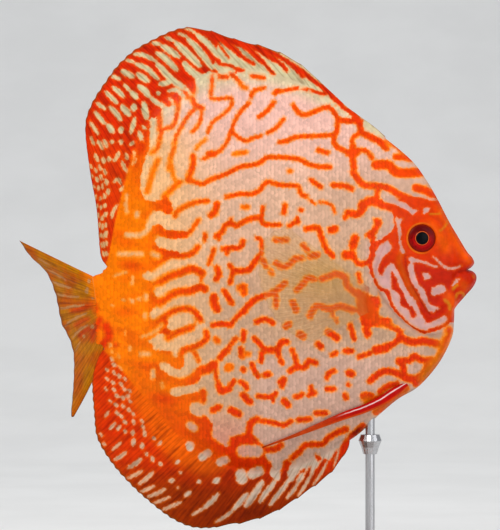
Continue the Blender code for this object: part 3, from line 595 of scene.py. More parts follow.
ANAL_MARKS = [
    (0.9, (339, 450), (336, 460), (334, 467)),
    (1.2, (327, 462), (323, 470), (318, 478), (313, 485)),
    (2.2, (314, 463), (312, 472)),
    (1.4, (312, 473), (306, 484), (298, 496)),
    (2.4, (303, 474), (298, 482)),
    (1.8, (298, 483), (293, 491), (287, 498)),
    (3.6, (294, 466), (290, 476)),
    (2.2, (289, 479), (284, 487), (276, 497), (270, 505)),
    (3.6, (277, 470), (276, 478)),
    (2.5, (275, 481), (270, 488), (265, 494), (260, 502)),
    (3.2, (262, 482), (257, 490), (251, 499), (246, 506)),
    (2.5, (247, 494), (241, 501), (234, 509)),
    (1.6, (234, 509), (226, 516), (216, 522)),
    (2.3, (218, 494), (212, 501), (204, 508)),
    (1.4, (204, 508), (192, 515)),
    (2.2, (190, 492), (185, 496)),
    (1.6, (181, 502), (172, 506), (162, 510)),
    (1.4, (170, 497), (160, 501), (152, 504)),
    (1.8, (165, 489), (158, 493), (148, 497)),
    (1.6, (154, 486), (148, 489), (140, 492)),
    (1.9, (153, 472), (147, 478), (139, 484)),
    (1.6, (142, 471), (135, 475), (128, 478)),
    (2.0, (141, 459), (135, 464), (128, 468)),
    (1.8, (126, 452), (120, 457), (115, 460)),
    (1.4, (121, 442), (116, 447), (112, 450)),
    (2.4, (134, 440), (133, 445)),
    (2.2, (142, 444), (142, 448)),
    (2.0, (146, 453), (147, 455)),
    (2.0, (152, 457), (153, 461)),
    (2.1, (160, 463), (161, 465)),
    (1.9, (153, 438), (155, 439)),
    (1.5, (162, 441), (158, 445)),
    (1.9, (179, 461), (176, 463)),
    (1.9, (181, 472), (180, 473)),
    (2.6, (170, 481), (173, 480)),
    (2.2, (198, 482), (200, 481)),
    (1.8, (178, 487), (178, 488)),
    (2.8, (214, 482), (219, 479)),
    (1.2, (109, 411), (105, 417)),
    (1.5, (115, 423), (110, 429)),
    (1.6, (120, 426), (117, 430)),
    (1.9, (133, 431), (133, 435)),
    (1.7, (144, 431), (145, 436)),
    (1.7, (125, 430), (125, 433)),
    (1.6, (133, 413), (134, 416)),
    (1.6, (133, 420), (134, 424)),
    (1.3, (118, 354), (120, 359)),
    (1.2, (119, 366), (122, 370)),
]
# Small dots of the rear anal fin: radius, then places.
ANAL_DOTS = [
    (1.75, (112, 352), (112, 359), (114, 365), (114, 373), (113, 383), (114, 390), (117, 396),
     (116, 405), (117, 413), (121, 416), (125, 422), (119, 376), (121, 384), (124, 389),
     (123, 398), (123, 406), (129, 410)),
    (1.5, (107, 370), (107, 379), (106, 389), (110, 401), (130, 391), (130, 401), (143, 427),
     (142, 421), (101, 435), (104, 444), (125, 379), (128, 396)),
]
# Lines and areas that are orange rather than red, for the heat of the colour.
ORANGE_AREAS = [
    (3, (206, 139), (196, 149)),
    (3, (234, 154), (246, 152)),
    (3, (289, 171), (291, 171)),
    (3, (243, 207), (248, 207)),
    (4, (240, 288), (244, 290)),
    (3, (252, 77), (264, 78)),
    (3, (228, 74), (246, 88)),
    (3, (271, 272), (272, 274)),
    (3, (216, 339), (218, 341)),
    (4, (228, 368), (230, 367)),
    (3, (247, 354), (249, 354)),
    (6, (448, 330), (438, 358), (424, 378)),
    (4, (370, 306), (376, 322), (396, 327)),
    (3, (406, 389), (396, 399), (386, 406), (376, 412)),
    (4, (360, 404), (368, 401)),
    (3, (386, 142), (400, 150)),
    (8, (364, 302), (370, 312)),
    (5, (150, 190), (150, 150), (160, 118), (192, 96), (222, 78)),
    (4, (178, 184), (184, 184)),
]
# Parts of the face that are a little more orange.
FACE_GLOW = [
    (4, (440, 208), (449, 224), (460, 246), (470, 260)),
    (5, (430, 226), (441, 238), (446, 248)),
    (4, (448, 296), (455, 306), (452, 314)),
    (3, (462, 284), (466, 288)),
]
# The amber band along the front of the gill cover.
GILL_BAND = [
    (2.6, (402, 252), (399, 262), (403, 272), (409, 286), (417, 299)),
]
# Places of the orange rear that are red.
RED_AREAS = [
    (2.5, (94, 303), (96, 311)),
    (3.0, (100, 319), (95, 330), (94, 339)),
    (4.5, (106, 326), (109, 336), (103, 345)),
    (2.0, (112, 345), (117, 345)),
]
# The anal fin's plain orange zone next to the body.
ORANGE_FIN = [
    (120, 344), (125, 362), (129, 384), (130, 398), (137, 413), (146, 424), (152, 438), (162, 450),
    (174, 462), (190, 472), (208, 478), (232, 466), (200, 420), (168, 380), (140, 340),
]

# Colours as seen on the plan, red, green and blue from 0 to 255.
PEACH = (238, 186, 170)
SAND = (224, 178, 148)
TAN = (204, 162, 130)
REAR_PALE = (240, 184, 128)
LOW_PALE = (209, 167, 146)
SALMON = (226, 152, 128)
# Painted shade of the clear pectoral fin on the body behind it.
FIN_SHADE_OLIVE = (203, 160, 88)
LILAC = (210, 160, 154)
DORSAL_PALE = (214, 202, 158)
ANAL_PALE = (212, 188, 166)
BODY_RED = (240, 70, 1)
LOWER_RED = (228, 52, 2)
FACE_RED = (222, 56, 1)
FIN_RED = (224, 42, 1)
ANAL_RED = (226, 46, 1)
FIN_DARK = (148, 46, 0)
FIN_RIM = (150, 72, 6)
ORANGE = (255, 124, 0)
HALO = (255, 150, 40)
TAIL_AMBER = (204, 124, 0)
TAIL_ORANGE = (208, 98, 0)
TAIL_PALE = (204, 142, 84)
TAIL_DOT = (196, 140, 12)
TAIL_RED_PAINT = (220, 58, 2)
VENT = (96, 6, 4)
# Golden colour of the orbit ring and the head's lines, also of the painted lip highlight.
HEAD_GOLD_AND_LIP_HIGHLIGHT = (214, 132, 22)
FACE_LOW = (198, 34, 2)
FACE_ORANGE = (242, 88, 2)
FACE_AMBER = (206, 84, 2)
# Painted shade of the orange on the down-facing underside.
UNDERSIDE_SHADE_AMBER = (206, 104, 2)
FIN_ORANGE = (252, 100, 4)
# Painted shade in the head's creases.
CREASE_SHADE_RED = (128, 14, 2)


def linear(colour):
    """A 0 to 255 display colour as linear light."""
    value = np.asarray(colour, float) / 255.0
    return np.where(value <= 0.04045, value / 12.92, ((value + 0.055) / 1.055) ** 2.4)


def smoothstep(low, high, value):
    share = np.clip((value - low) / (high - low), 0.0, 1.0)
    return share * share * (3.0 - 2.0 * share)


def blend(colour_a, colour_b, share):
    """Two linear colours, or arrays of them, mixed by a share for each point."""
    share = np.asarray(share)[..., None]
    return colour_a * (1.0 - share) + colour_b * share


def dense_path(points, steps=24):
    """A Catmull-Rom curve through the points, as many short chords."""
    known = np.array(points, float)
    known = np.vstack([2 * known[0] - known[1], known, 2 * known[-1] - known[-2]])
    share = np.linspace(0.0, 1.0, steps, endpoint=False)[:, None]
    runs = []
    for a, b, c, d in zip(known, known[1:], known[2:], known[3:]):
        pull = 2 * a - 5 * b + 4 * c - d
        twist = 3 * b - a - 3 * c + d
        runs.append(0.5 * (2 * b + (c - a) * share + pull * share**2 + twist * share**3))
    runs.append(known[-2][None, :])
    return np.vstack(runs)


def lengths_along(path):
    return np.concatenate([[0.0], np.cumsum(np.linalg.norm(np.diff(path, axis=0), axis=1))])


def along(path, shares):
    reach = lengths_along(path)
    at = np.asarray(shares) * reach[-1]
    return np.stack([np.interp(at, reach, path[:, axis]) for axis in range(path.shape[1])], axis=-1)


def evenly(path, spacing):
    """Points on the path at an even spacing, both ends included."""
    count = max(2, int(round(lengths_along(path)[-1] / spacing)) + 1)
    return along(path, np.linspace(0.0, 1.0, count))


def smooth_values(pairs, at):
    path = dense_path(pairs)
    return np.interp(at, path[:, 0], path[:, 1])


def share_at_x(path, x):
    reach = lengths_along(path)
    return reach[int(np.argmax(path[:, 0] <= x))] / reach[-1]


BACK_PATH = dense_path(BACK)
BELLY_PATH = dense_path(BELLY)
FLESH_TOP = np.vstack([[(66.0, 121.0), (64.2, 124.4)], BACK_PATH])
FLESH_BOTTOM = np.vstack([[(66.0, 117.5), (64.4, 112.5)], BELLY_PATH])


def height_at(path, x):
    order = np.argsort(path[:, 0])
    return np.interp(x, path[order, 0], path[order, 1])


def distance_to(points, path):
    """Distance of each point, shape (..., 2), to a path of straight chords."""
    points = np.asarray(points, float)
    best = np.full(points.shape[:-1], 1e9)
    for a, b in zip(path, path[1:]):
        run = np.subtract(b, a)
        share = ((points - a) @ run) / max(float(run @ run), 1e-9)
        near = np.clip(share, 0.0, 1.0)[..., None] * run + a
        best = np.minimum(best, ((points - near) ** 2).sum(axis=-1))
    return np.sqrt(best)


def within(points, outline):
    """True for places, shape (..., 2), inside a closed outline."""
    points = np.asarray(points, float)
    x = points[..., 0]
    z = points[..., 1]
    result = np.zeros(x.shape, bool)
    for (ax, az), (bx, bz) in zip(outline, np.roll(outline, -1, axis=0)):
        if az == bz:
            continue
        crosses = (z < az) != (z < bz)
        result ^= crosses & (x < ax + (z - az) * (bx - ax) / (bz - az))
    return result


def ripple(x, z, length, seed):
    """A soft, even noise between about -1 and 1, with waves of the given length."""
    random = np.random.default_rng(seed)
    total = np.zeros(np.shape(x))
    for _ in range(7):
        angle = random.uniform(0, 2 * math.pi)
        rate = 2 * math.pi / (length * random.uniform(0.7, 1.5))
        phase = random.uniform(0, 2 * math.pi)
        total += np.sin((np.cos(angle) * x + np.sin(angle) * z) * rate + phase)
    return total / 4.0


# The marking plan: a fine grid of signed distances, over zero where the skin is red.


def plan_of(x, z):
    return x / STEP + PLAN_ORIGIN[0], PLAN_ORIGIN[1] - z / STEP


PLAN_U, PLAN_V = np.meshgrid(
    PLAN_LEFT + CELL * np.arange(PLAN_COLUMNS), PLAN_TOP + CELL * np.arange(PLAN_ROWS)
)


def inside(region):
    """True on the plan's cells that lie inside a closed outline."""
    return within(np.stack([PLAN_U, PLAN_V], axis=-1), region)


def blurred(field, sigma):
    """Gaussian blur of a plan field, sigma in plan steps."""
    reach = max(1, int(3 * sigma / CELL))
    weights = np.exp(-0.5 * (np.arange(-reach, reach + 1) * CELL / sigma) ** 2)
    weights /= weights.sum()
    for axis in (0, 1):
        moved = np.zeros_like(field)
        padding = [(reach, reach) if side == axis else (0, 0) for side in (0, 1)]
        padded = np.pad(field, padding, mode="edge")
        for tap, weight in enumerate(weights):
            cut = [slice(None), slice(None)]
            cut[axis] = slice(tap, tap + field.shape[axis])
            moved += weight * padded[tuple(cut)]
        field = moved
    return field


def stroke_value(cells, path, half, taper):
    """Signed distance into a stroke that narrows towards its ends by the taper's share."""
    reach = lengths_along(path)
    best = np.full(cells.shape[:-1], -1e9)
    for a, b, start in zip(path, path[1:], reach):
        run = np.subtract(b, a)
        length = max(float(np.hypot(*run)), 1e-9)
        near = np.clip(((cells - a) @ run) / length**2, 0.0, 1.0)
        share = (start + near * length) / max(reach[-1], 1e-9)
        away = np.linalg.norm(cells - (near[..., None] * run + a), axis=-1)
        best = np.maximum(best, half * (1.0 - taper * np.abs(2.0 * share - 1.0) ** 3) - away)
    return best


def window(path, margin):
    """Rows and columns of the plan round a path."""
    low = np.maximum(path.min(axis=0) - margin, (PLAN_LEFT, PLAN_TOP))
    high = path.max(axis=0) + margin
    columns = slice(int((low[0] - PLAN_LEFT) / CELL), int((high[0] - PLAN_LEFT) / CELL))
    rows = slice(int((low[1] - PLAN_TOP) / CELL), int((high[1] - PLAN_TOP) / CELL))
    return rows, columns


def lay(field, strokes, sign, taper=0.0):
    """Lays strokes into a field of signed distances: red ones with sign 1, pale ones with -1."""
    for half, *points in strokes:
        path = dense_path(points, 5) if len(points) > 2 else np.array(points, float)
        place = window(path, half + 5)
        cells = np.stack([PLAN_U[place], PLAN_V[place]], axis=-1)
        if cells.size:
            value = stroke_value(cells, path, half, taper)
            field[place] = sign * np.maximum(sign * field[place], value)


def lay_areas(field, areas, sign):
    """Lays closed outlines into a field of signed distances."""
    for area in areas:
        closed = np.array(area + area[:1], float)
        place = window(closed, 5)
        cells = np.stack([PLAN_U[place], PLAN_V[place]], axis=-1)
        away = distance_to(cells, closed)
        value = np.where(within(cells, closed[:-1]), away, -away)
        field[place] = sign * np.maximum(sign * field[place], value)


def sample(field, u, v):
    """The field at plan places, read between its cells."""
    column = np.clip((np.asarray(u) - PLAN_LEFT) / CELL, 0, PLAN_COLUMNS - 1.001)
    row = np.clip((np.asarray(v) - PLAN_TOP) / CELL, 0, PLAN_ROWS - 1.001)
    c = column.astype(int)
    r = row.astype(int)
    fc = column - c
    fr = row - r
    top = field[r, c] * (1 - fc) + field[r, c + 1] * fc
    low = field[r + 1, c] * (1 - fc) + field[r + 1, c + 1] * fc
    return top * (1 - fr) + low * fr


# Distance of each row of dashes from the fin's edge, and how far it is shifted down.
DASH_ROWS = ((3.5, 0.0), (8.0, 4.5), (12.5, 1.5), (17.0, 6.0))
DASH_SPAN = (166.0, 262.0)  # heights on the plan
# Heights on the plan, and there: the fin's edge, the fin's width, how far a dash leans.
DASH_EDGE = ([150, 180, 215, 245, 266], [85, 89, 95, 100, 104])
DASH_ROOM = ([160, 200, 262], [26.0, 17.0, 5.5])
DASH_SLANT = ([160, 210, 262], [1.2, -0.6, 0.8])


def rear_dashes():
    """Rows of small pale dashes down the rear of the dorsal fin."""
    strokes = []
    first, last = DASH_SPAN
    for start, shift in DASH_ROWS:
        v = first + shift
        while v < last:
            edge = np.interp(v, *DASH_EDGE)
            room = np.interp(v, *DASH_ROOM)
            u = edge + start * min(1.0, room / 17.0)
            if start * min(1.0, room / 17.0) < room:
                slant = np.interp(v, *DASH_SLANT)
                half = np.interp(start, [3, 17], [1.05, 1.7]) * RANDOM.uniform(0.85, 1.15)
                reach = RANDOM.uniform(1.4, 2.6)
                strokes.append((half, (u - slant, v - reach), (u + slant, v + reach)))
            v += RANDOM.uniform(8.6, 10.6)
    return strokes


def marking_field():
    field = np.where(inside(REAR_REGION) | inside(FACE_REGION) | inside(PECTORAL_REGION), 4.0, -4.0)
    field = blurred(field, 0.8)
    for strokes in (UPPER_LINES, NAPE_LINES, MIDDLE_LINES, LOWER_LINES):
        lay(field, strokes, 1)
    lay(field, FIN_LINES, 1, 0.2)
    lay(field, REAR_MARKS, -1)
    lay(field, FACE_MARKS, -1, 0.4)
    lay_areas(field, FACE_AREAS, -1)
    lay_areas(field, FACE_ISLANDS, 1)
    for strokes in (DORSAL_MARKS, ANAL_MARKS, rear_dashes()):
        lay(field, [(1.12 * half, *points) for half, *points in strokes], -1, 0.4)
    for radius, *places in ANAL_DOTS:
        lay(field, [(radius, (u - 0.6, v - 0.8), (u + 0.6, v + 0.8)) for u, v in places], -1)
    return blurred(np.clip(field, -4.0, 4.0), 0.45)


def cover_of(strokes, edge=1.0, blur=0.0):
    """How far strokes cover each cell of the plan, from 0 to 1."""
    field = np.full(PLAN_U.shape, -8.0)
    lay(field, strokes, 1)
    cover = smoothstep(-edge, edge, field)
    return blurred(cover, blur) if blur else cover


def heat_field():
    near = cover_of(ORANGE_AREAS, 3.0, 2.2)
    rear = 1.15 * smoothstep(235.0, 122.0, PLAN_U) * smoothstep(110.0, 170.0, PLAN_V)
    rear *= 1.0 - 0.3 * smoothstep(390.0, 430.0, PLAN_V)
    rear *= 0.9 + 0.5 * ripple(0.5 * PLAN_U, PLAN_V, 20.0, 41)
    heat = np.clip(np.maximum(near, rear), 0.0, 1.0)
    return heat * (1.0 - cover_of(RED_AREAS, 2.0, 1.2))


MARKS = marking_field()
HEAT = heat_field()
GLOW = cover_of(FACE_GLOW, 3.0, 2.4)
GILL_GLOW = cover_of(GILL_BAND, 2.0, 1.6)
GOLD_AND_LIP_HIGHLIGHT = cover_of(GOLD_LINES_AND_LIP_HIGHLIGHT, 0.6)
CREASE_SHADE = cover_of(CREASE_SHADE_LINES, 0.8)
FACE = blurred(inside(FACE_REGION).astype(float), 5.0)
FIN_HEAT = blurred(inside(ORANGE_FIN).astype(float), 4.0)


CAMERA_DISTANCE = 1000.0
VIEW_MIDDLE = (250.0, 265.0)
EYE_PLAN = (422.2, 238.2)
ORBIT_RADIUS = 15.0
MID_HEIGHT = 300.0  # plan height that parts the dorsal from the anal side
BASE_FRONT = 384.0  # the fins' bases lie behind this


def seen_plan(x, z, depth):
    """Plan places where the camera sees places that stand out by the depth, in mm."""
    u, v = plan_of(x, z)
    grow = depth / (CAMERA_DISTANCE - depth)
    return u + (u - VIEW_MIDDLE[0]) * grow, v + (v - VIEW_MIDDLE[1]) * grow


def side_plan(x, z, side, depth):
    """Plan places for a side. The left side wears a changed copy of the same markings.

    Places that stand out by the depth, in mm, look a little farther from the picture's middle.
    """
    u, v = seen_plan(x, z, depth)
    if side > 0:
        on_body = 1.0 - smoothstep(330.0, 380.0, u)
        u = u + on_body * 7.0 * np.sin(v / 31.0 + 1.0)
        v = v + on_body * 6.0 * np.sin(u / 37.0 + 0.4)
    return u, v


def ground_at(u, v, fin, face):
    """Colour of the pale ground."""
    ground = blend(linear(PEACH), linear(SAND), smoothstep(110.0, 210.0, v))
    ground = blend(ground, linear(TAN), smoothstep(210.0, 330.0, v))
    ground = blend(ground, linear(REAR_PALE), smoothstep(240.0, 150.0, u) * smoothstep(100.0, 150.0, v))
    ground = blend(ground, linear(SALMON), smoothstep(395.0, 450.0, v))
    ground = blend(ground, linear(LOW_PALE), smoothstep(330.0, 370.0, v) * smoothstep(230.0, 270.0, u))
    shaded = smoothstep(300.0, 350.0, u) * smoothstep(140.0, 190.0, v) * smoothstep(350.0, 320.0, v)
    ground = ground * (1 - 0.14 * shaded)[:, None]
    # Painted shade: the body behind the clear pectoral fin is darkened to an olive sand.
    fin_shade = np.exp(-(((u - 318.0) / 38.0) ** 2) - ((v - 276.0) / 26.0) ** 2)
    ground = blend(ground, linear(FIN_SHADE_OLIVE), 0.6 * fin_shade)
    ground = blend(ground, linear(LILAC), face)
    ground = blend(ground, linear(DORSAL_PALE), fin * (v < MID_HEIGHT))
    return blend(ground, linear(ANAL_PALE), fin * (v >= MID_HEIGHT))


def red_at(u, v, fin, face, heat):
    """Colour of the red lines and areas."""
    red = blend(linear(BODY_RED), linear(LOWER_RED), smoothstep(100.0, 340.0, v))
    face_red = blend(linear(FACE_RED), linear(FACE_LOW), smoothstep(248.0, 272.0, v))
    face_red = blend(face_red, linear(FACE_ORANGE), sample(GLOW, u, v))
    face_red = blend(face_red, linear(FACE_AMBER), 0.8 * sample(GILL_GLOW, u, v))
    red = blend(red, face_red, face)
    fin_red = blend(linear(FIN_RED), linear(ANAL_RED), smoothstep(280.0, 320.0, v))
    fin_red = blend(fin_red, linear(FIN_ORANGE), sample(FIN_HEAT, u, v))
    outward = (v - 445.0) / 55.0 + np.maximum(114.0 - u, 0.0) / 24.0
    outer = smoothstep(0.0, 1.0, outward) * smoothstep(300.0, 340.0, v)
    fin_red = blend(fin_red, linear(FIN_DARK), 0.9 * outer)
    red = red * (1 - fin[:, None]) + fin_red * fin[:, None]
    # Painted shade: the orange turns a darker amber on the down-facing underside by the throat.
    underside_shade = smoothstep(300.0, 400.0, v) * smoothstep(320.0, 390.0, u)
    warm = blend(linear(ORANGE), linear(UNDERSIDE_SHADE_AMBER), underside_shade)
    red = blend(red, warm, heat * (1 - 0.9 * fin))
    vent = np.exp(-(((u - 357.0) / 8.0) ** 2) - ((v - 431.0) / 5.0) ** 2)
    return blend(red, linear(VENT), 0.8 * vent)


def colours_at(x, z, side, fin, depth):
    """(mark, pale colour, red colour) at side-view places.

    fin is 0 on flesh and 1 on a fin, and nears 1 on the thin flesh along a fin's base.
    """
    u, v = side_plan(x, z, side, depth)
    base = smoothstep(5.0, 1.0, depth) * (u < BASE_FRONT) * smoothstep(122.0, 142.0, u)
    base = base * np.where(v < MID_HEIGHT, 1.0, 0.6)
    fin = np.maximum(fin, 0.85 * base)
    wobble = 0.45 * ripple(u, v, 6.0, 3) + 0.5 * ripple(u, v, 3.1, 4)
    mark = sample(MARKS, u + wobble, v + 0.5 * ripple(u, v, 4.0, 5))
    heat = sample(HEAT, u, v)
    face = sample(FACE, u, v)
    mark = mark + face * (0.1 + 0.35 * ripple(u, v, 2.6, 6))
    ground = ground_at(u, v, fin, face)
    core = smoothstep(0.9, 2.6, mark) * smoothstep(138.0, 166.0, u) * smoothstep(362.0, 330.0, v)
    red = red_at(u, v, fin, face, heat * (1.0 - 0.75 * core))
    margin = smoothstep(-1.8 - 1.8 * heat, -0.1, mark) * (0.85 + 0.15 * heat) * (1 - 0.5 * fin)
    ground = blend(ground, linear(HALO), margin * (1 - 0.7 * face))
    soft = (1 - smoothstep(0.1, 1.8, mark)) * 0.75 * (1 - 0.6 * face)
    red = blend(red, linear(ORANGE), soft * (1 - 0.5 * fin))
    from_eye = np.hypot(u - EYE_PLAN[0], v - EYE_PLAN[1])
    orbit = np.exp(-(((from_eye - ORBIT_RADIUS) / 0.65) ** 2)) * smoothstep(12.0, -4.0, u - EYE_PLAN[0])
    # Golden orbit ring and head lines, with the painted highlight on the lower lip.
    gold_and_lip_highlight = np.maximum(0.65 * orbit, 0.75 * sample(GOLD_AND_LIP_HIGHLIGHT, u, v)) * (1 - fin)
    ground = blend(ground, linear(HEAD_GOLD_AND_LIP_HIGHLIGHT), gold_and_lip_highlight)
    red = blend(red, linear(HEAD_GOLD_AND_LIP_HIGHLIGHT), gold_and_lip_highlight)
    # Painted shade in the creases where the skin folds in.
    red = blend(red, linear(CREASE_SHADE_RED), 0.6 * sample(CREASE_SHADE, u, v) * (1 - fin))
    mark = np.where(from_eye < 17.0, np.maximum(mark, 1.5), mark)
    mark = mark + 3.0 * sample(GOLD_AND_LIP_HIGHLIGHT, u, v) * (1 - fin)
    return mark / (1 + 0.8 * heat * (1 - fin)), ground, red


# Relief of the head, added to the half thickness, in mm.


def gill_side(points):
    """Signed distance to the rear edge of the gill cover, over zero on the head's side."""
    seam = dense_path(GILL_SEAM, 3)
    distance = distance_to(points, seam)
    closed = np.vstack([seam, [(90.0, 103.4), (90.0, 190.0), (42.5, 190.0)]])
    return np.where(within(points, closed), distance, -distance)


HEAD_DEPTH = 8.0  # half thickness of the head where its features are


def from_plan(points):
    """Places in mm on the side of the head, seen at the given places of the plan."""
    shrink = 1.0 - HEAD_DEPTH / CAMERA_DISTANCE
    places = []
    for u, v in points:
        u = VIEW_MIDDLE[0] + (u - VIEW_MIDDLE[0]) * shrink
        v = VIEW_MIDDLE[1] + (v - VIEW_MIDDLE[1]) * shrink
        places.append(((u - PLAN_ORIGIN[0]) * STEP, (PLAN_ORIGIN[1] - v) * STEP))
    return places


PREOPERCLE = from_plan([(405, 256), (407, 270), (411, 282), (418, 295), (426, 308), (436, 313), (446, 308)])
UNDER_EYE = from_plan([(409, 258), (420, 261), (436, 266), (448, 268), (460, 267)])
CHEEK_FOLD = from_plan([(452, 262), (455, 272), (458, 283), (456, 292)])
MOUTH_LINE = from_plan([(469, 269), (463, 270.5), (458, 273), (455, 277)])
NOSTRIL = from_plan([(444, 224)])[0]
CHIN_FOLD = from_plan([(470, 290), (462, 290), (455, 296), (452, 306)])
LOWER_LIP_FOLD = from_plan([(466, 273), (467.5, 279), (465, 286), (460, 290)])
UPPER_LIP_FOLD = from_plan([(463, 256), (466.5, 261), (466, 267)])
PECTORAL_PAD = from_plan([(366, 306)])[0]
OPERCLE_RIDGE = from_plan([(393, 262), (398, 275), (408, 293), (417, 308), (423, 322)])


def groove(points, path, depth, width):
    return -depth * np.exp(-((distance_to(points, dense_path(path, 5)) / width) ** 2))


def head_relief(x, z):
    points = np.stack([x, z], axis=-1)
    edge = gill_side(points)
    top_fade = 1.0 - smoothstep(131.0, 147.0, z)
    lip = 0.85 * smoothstep(-0.45, 0.35, edge) * np.exp(-np.maximum(edge, 0) / 7.0)
    behind = -0.35 * np.exp(-((edge + 1.3) / 1.2) ** 2)
    relief = (lip + behind) * top_fade
    relief += groove(points, PREOPERCLE, 0.45, 0.8) + 0.3 * np.exp(
        -((distance_to(points, dense_path(PREOPERCLE, 5)) - 1.8) / 1.1) ** 2
    )
    relief += groove(points, UNDER_EYE, 0.22, 0.7)
    relief += groove(points, CHEEK_FOLD, 0.3, 0.8)
    relief += groove(points, MOUTH_LINE, 0.9, 0.55)
    relief += groove(points, CHIN_FOLD, 0.3, 0.8)
    relief += groove(points, OPERCLE_RIDGE, 0.16, 1.0)
    relief += groove(points, LOWER_LIP_FOLD, 0.4, 0.5) + groove(points, UPPER_LIP_FOLD, 0.35, 0.5)
    pit = np.hypot(x - NOSTRIL[0], z - NOSTRIL[1])
    relief += -0.6 * np.exp(-((pit / 0.6) ** 2)) + 0.16 * np.exp(-(((pit - 1.1) / 0.4) ** 2))
    pad = np.hypot((x - PECTORAL_PAD[0]) / 3.6, (z - PECTORAL_PAD[1]) / 6.0)
    relief += 0.7 * np.exp(-(pad**2) * 1.6)
    relief += 0.08 * ripple(x, z, 7.0, 21) * smoothstep(28.0, 40.0, x)
    return relief


def lip_half(x, z, lip):
    (cx, cz), (rx, ry, rz) = lip
    return ry * np.sqrt(np.maximum(1 - ((x - cx) / rx) ** 2 - ((z - cz) / rz) ** 2, 0.0))


def flesh_half(x, z):
    """Half thickness of the CAD flesh at side-view places."""
    top = height_at(FLESH_TOP, x)
    bottom = height_at(FLESH_BOTTOM, x)
    level = (z - (top + bottom) / 2) / np.maximum((top - bottom) / 2, 0.5)
    power = np.where(level > 0, CREST_POWER, KEEL_POWER)
    fullness = np.maximum(1 - np.abs(np.clip(level, -1, 1)) ** SECTION_POWER, 0.0)
    return smooth_values(HALF_WIDTH, x) * fullness**power


def fin_keep(x, z):
    """Least half thickness of the flesh, so that it runs on into a fin."""
    upper = smoothstep(DORSAL_BASE_X[0] + 1.0, DORSAL_BASE_X[0] - 9.0, x)
    lower = smoothstep(ANAL_BASE_X[0] + 1.0, ANAL_BASE_X[0] - 7.0, x)
    return FIN_ROOT * np.where(z > 118.0, upper, lower)


def ball_face(x, z):
    """How far out the eyeball's face is."""
    radius = np.hypot(x - EYE_CENTRE[0], z - EYE_CENTRE[1])
    dome = np.sqrt(np.maximum(1 - (radius / EYE_RADII[0]) ** 2, 0.0))
    return EYE_OUT + EYE_LEAN * (x - EYE_CENTRE[0]) + EYE_RADII[1] * dome


def eye_dip(x, z, half):
    """The skin round the eye: it levels with the ball, then a raised rim and a socket."""
    radius = np.hypot(x - EYE_CENTRE[0], z - EYE_CENTRE[1])
    back = SOCKET_RADIUS / np.maximum(radius, SOCKET_RADIUS)
    near_x = EYE_CENTRE[0] + (x - EYE_CENTRE[0]) * back
    near_z = EYE_CENTRE[1] + (z - EYE_CENTRE[1]) * back
    level = ball_face(near_x, near_z)
    rim = half + (level + LID_OVER_BALL - half) * smoothstep(*LEVELLED, radius)
    rim = rim + 0.22 * np.exp(-(((radius - 5.45) / 0.45) ** 2))
    inner = smoothstep(SOCKET_RADIUS + 0.3, SOCKET_RADIUS - 0.45, radius)
    return rim + (ball_face(x, z) - 0.8 - rim) * inner


def skin_half(x, z, rim):
    """Half thickness of the skin over the flesh. rim is the distance to the side outline."""
    flesh = flesh_half(x, z)
    coat = SCALE_COAT * smoothstep(0.0, 2.5, flesh)
    half = np.cbrt(np.maximum(flesh - coat, 0.0) ** 3 + fin_keep(x, z) ** 3)
    for lip in (UPPER_LIP, LOWER_LIP):
        half = (half**5 + lip_half(x, z, lip) ** 5) ** 0.2
    half = half + head_relief(x, z) * smoothstep(0.4, 4.0, rim)
    half = eye_dip(x, z, half)
    turn = np.minimum(rim, 0.6)
    return (np.maximum(half, 0.0) ** 4 + (turn * (1.2 - turn)) ** 2) ** 0.25


def sideways(x):
    return BEND_RATE * np.maximum(BEND_START - x, 0.0) ** 2


# The median fins.


def base_of_fin(path, span_x):
    shares = np.linspace(share_at_x(path, span_x[0]), share_at_x(path, span_x[1]), 160)
    return along(path, shares)


def ray_count(edge_at, spines):
    """Rays passed by each share of the free edge, as a running number."""
    count, first, last = spines
    spiny = np.clip((edge_at - first) / (last - first), 0, 1) * count
    soft = np.clip((edge_at - last) / (0.99 - last), 0, 1) * SOFT_RAYS
    return spiny + soft


def fin_columns(base_path, edge_path, lean, spines, spacing):
    """Shares, root points and free edge points of a fin's columns, spine notches included."""
    length = lengths_along(edge_path)[-1]
    edge_at = np.linspace(0.0, 1.0, int(length / spacing) + 1)
    base_shares, edge_shares = np.array(lean).T
    base = along(base_path, np.interp(edge_at, edge_shares, base_shares))
    edge = along(edge_path, edge_at)
    ray = edge - base
    reach = np.maximum(np.linalg.norm(ray, axis=1), 1e-6)
    count, first, last = spines
    phase = np.clip((edge_at - first) / (last - first), 0, 1) * count % 1.0
    notch = SPINE_NOTCH * np.minimum(1.0, reach / 8.0) * np.sin(math.pi * phase**0.7) ** 0.8
    notch = np.where((edge_at > first) & (edge_at < last), notch, 0.0)
    scallop = 0.18 * (1 - np.cos(2 * math.pi * ray_count(edge_at, spines))) * smoothstep(2.0, 8.0, reach)
    notch = np.where(edge_at >= last, scallop, notch)
    edge = edge - ray / reach[:, None] * notch[:, None]
    return edge_at, base, edge


# Building the skin: one flat net of triangles for the side view, used for both sides.

TAIL_COLUMNS = 126
TAIL_ROWS = 42
FIN_SPACING = 0.56  # between the skin's points on the fins
FACE_SPACING = 0.62
BODY_SPACING = 1.25


def plain_rows(path):
    """Rows of x, z, fin number, edge share, share of the way out, root x, ray length."""
    nothing = np.zeros((len(path), 3))
    return np.column_stack([path, nothing, path[:, 0], np.zeros(len(path))])


def edge_rows(columns, number):
    edge_at, base, edge = columns
    reach = np.linalg.norm(edge - base, axis=1)
    ones = np.ones(len(edge_at))
    return np.column_stack([edge, number * ones, edge_at, ones, base[:, 0], reach])


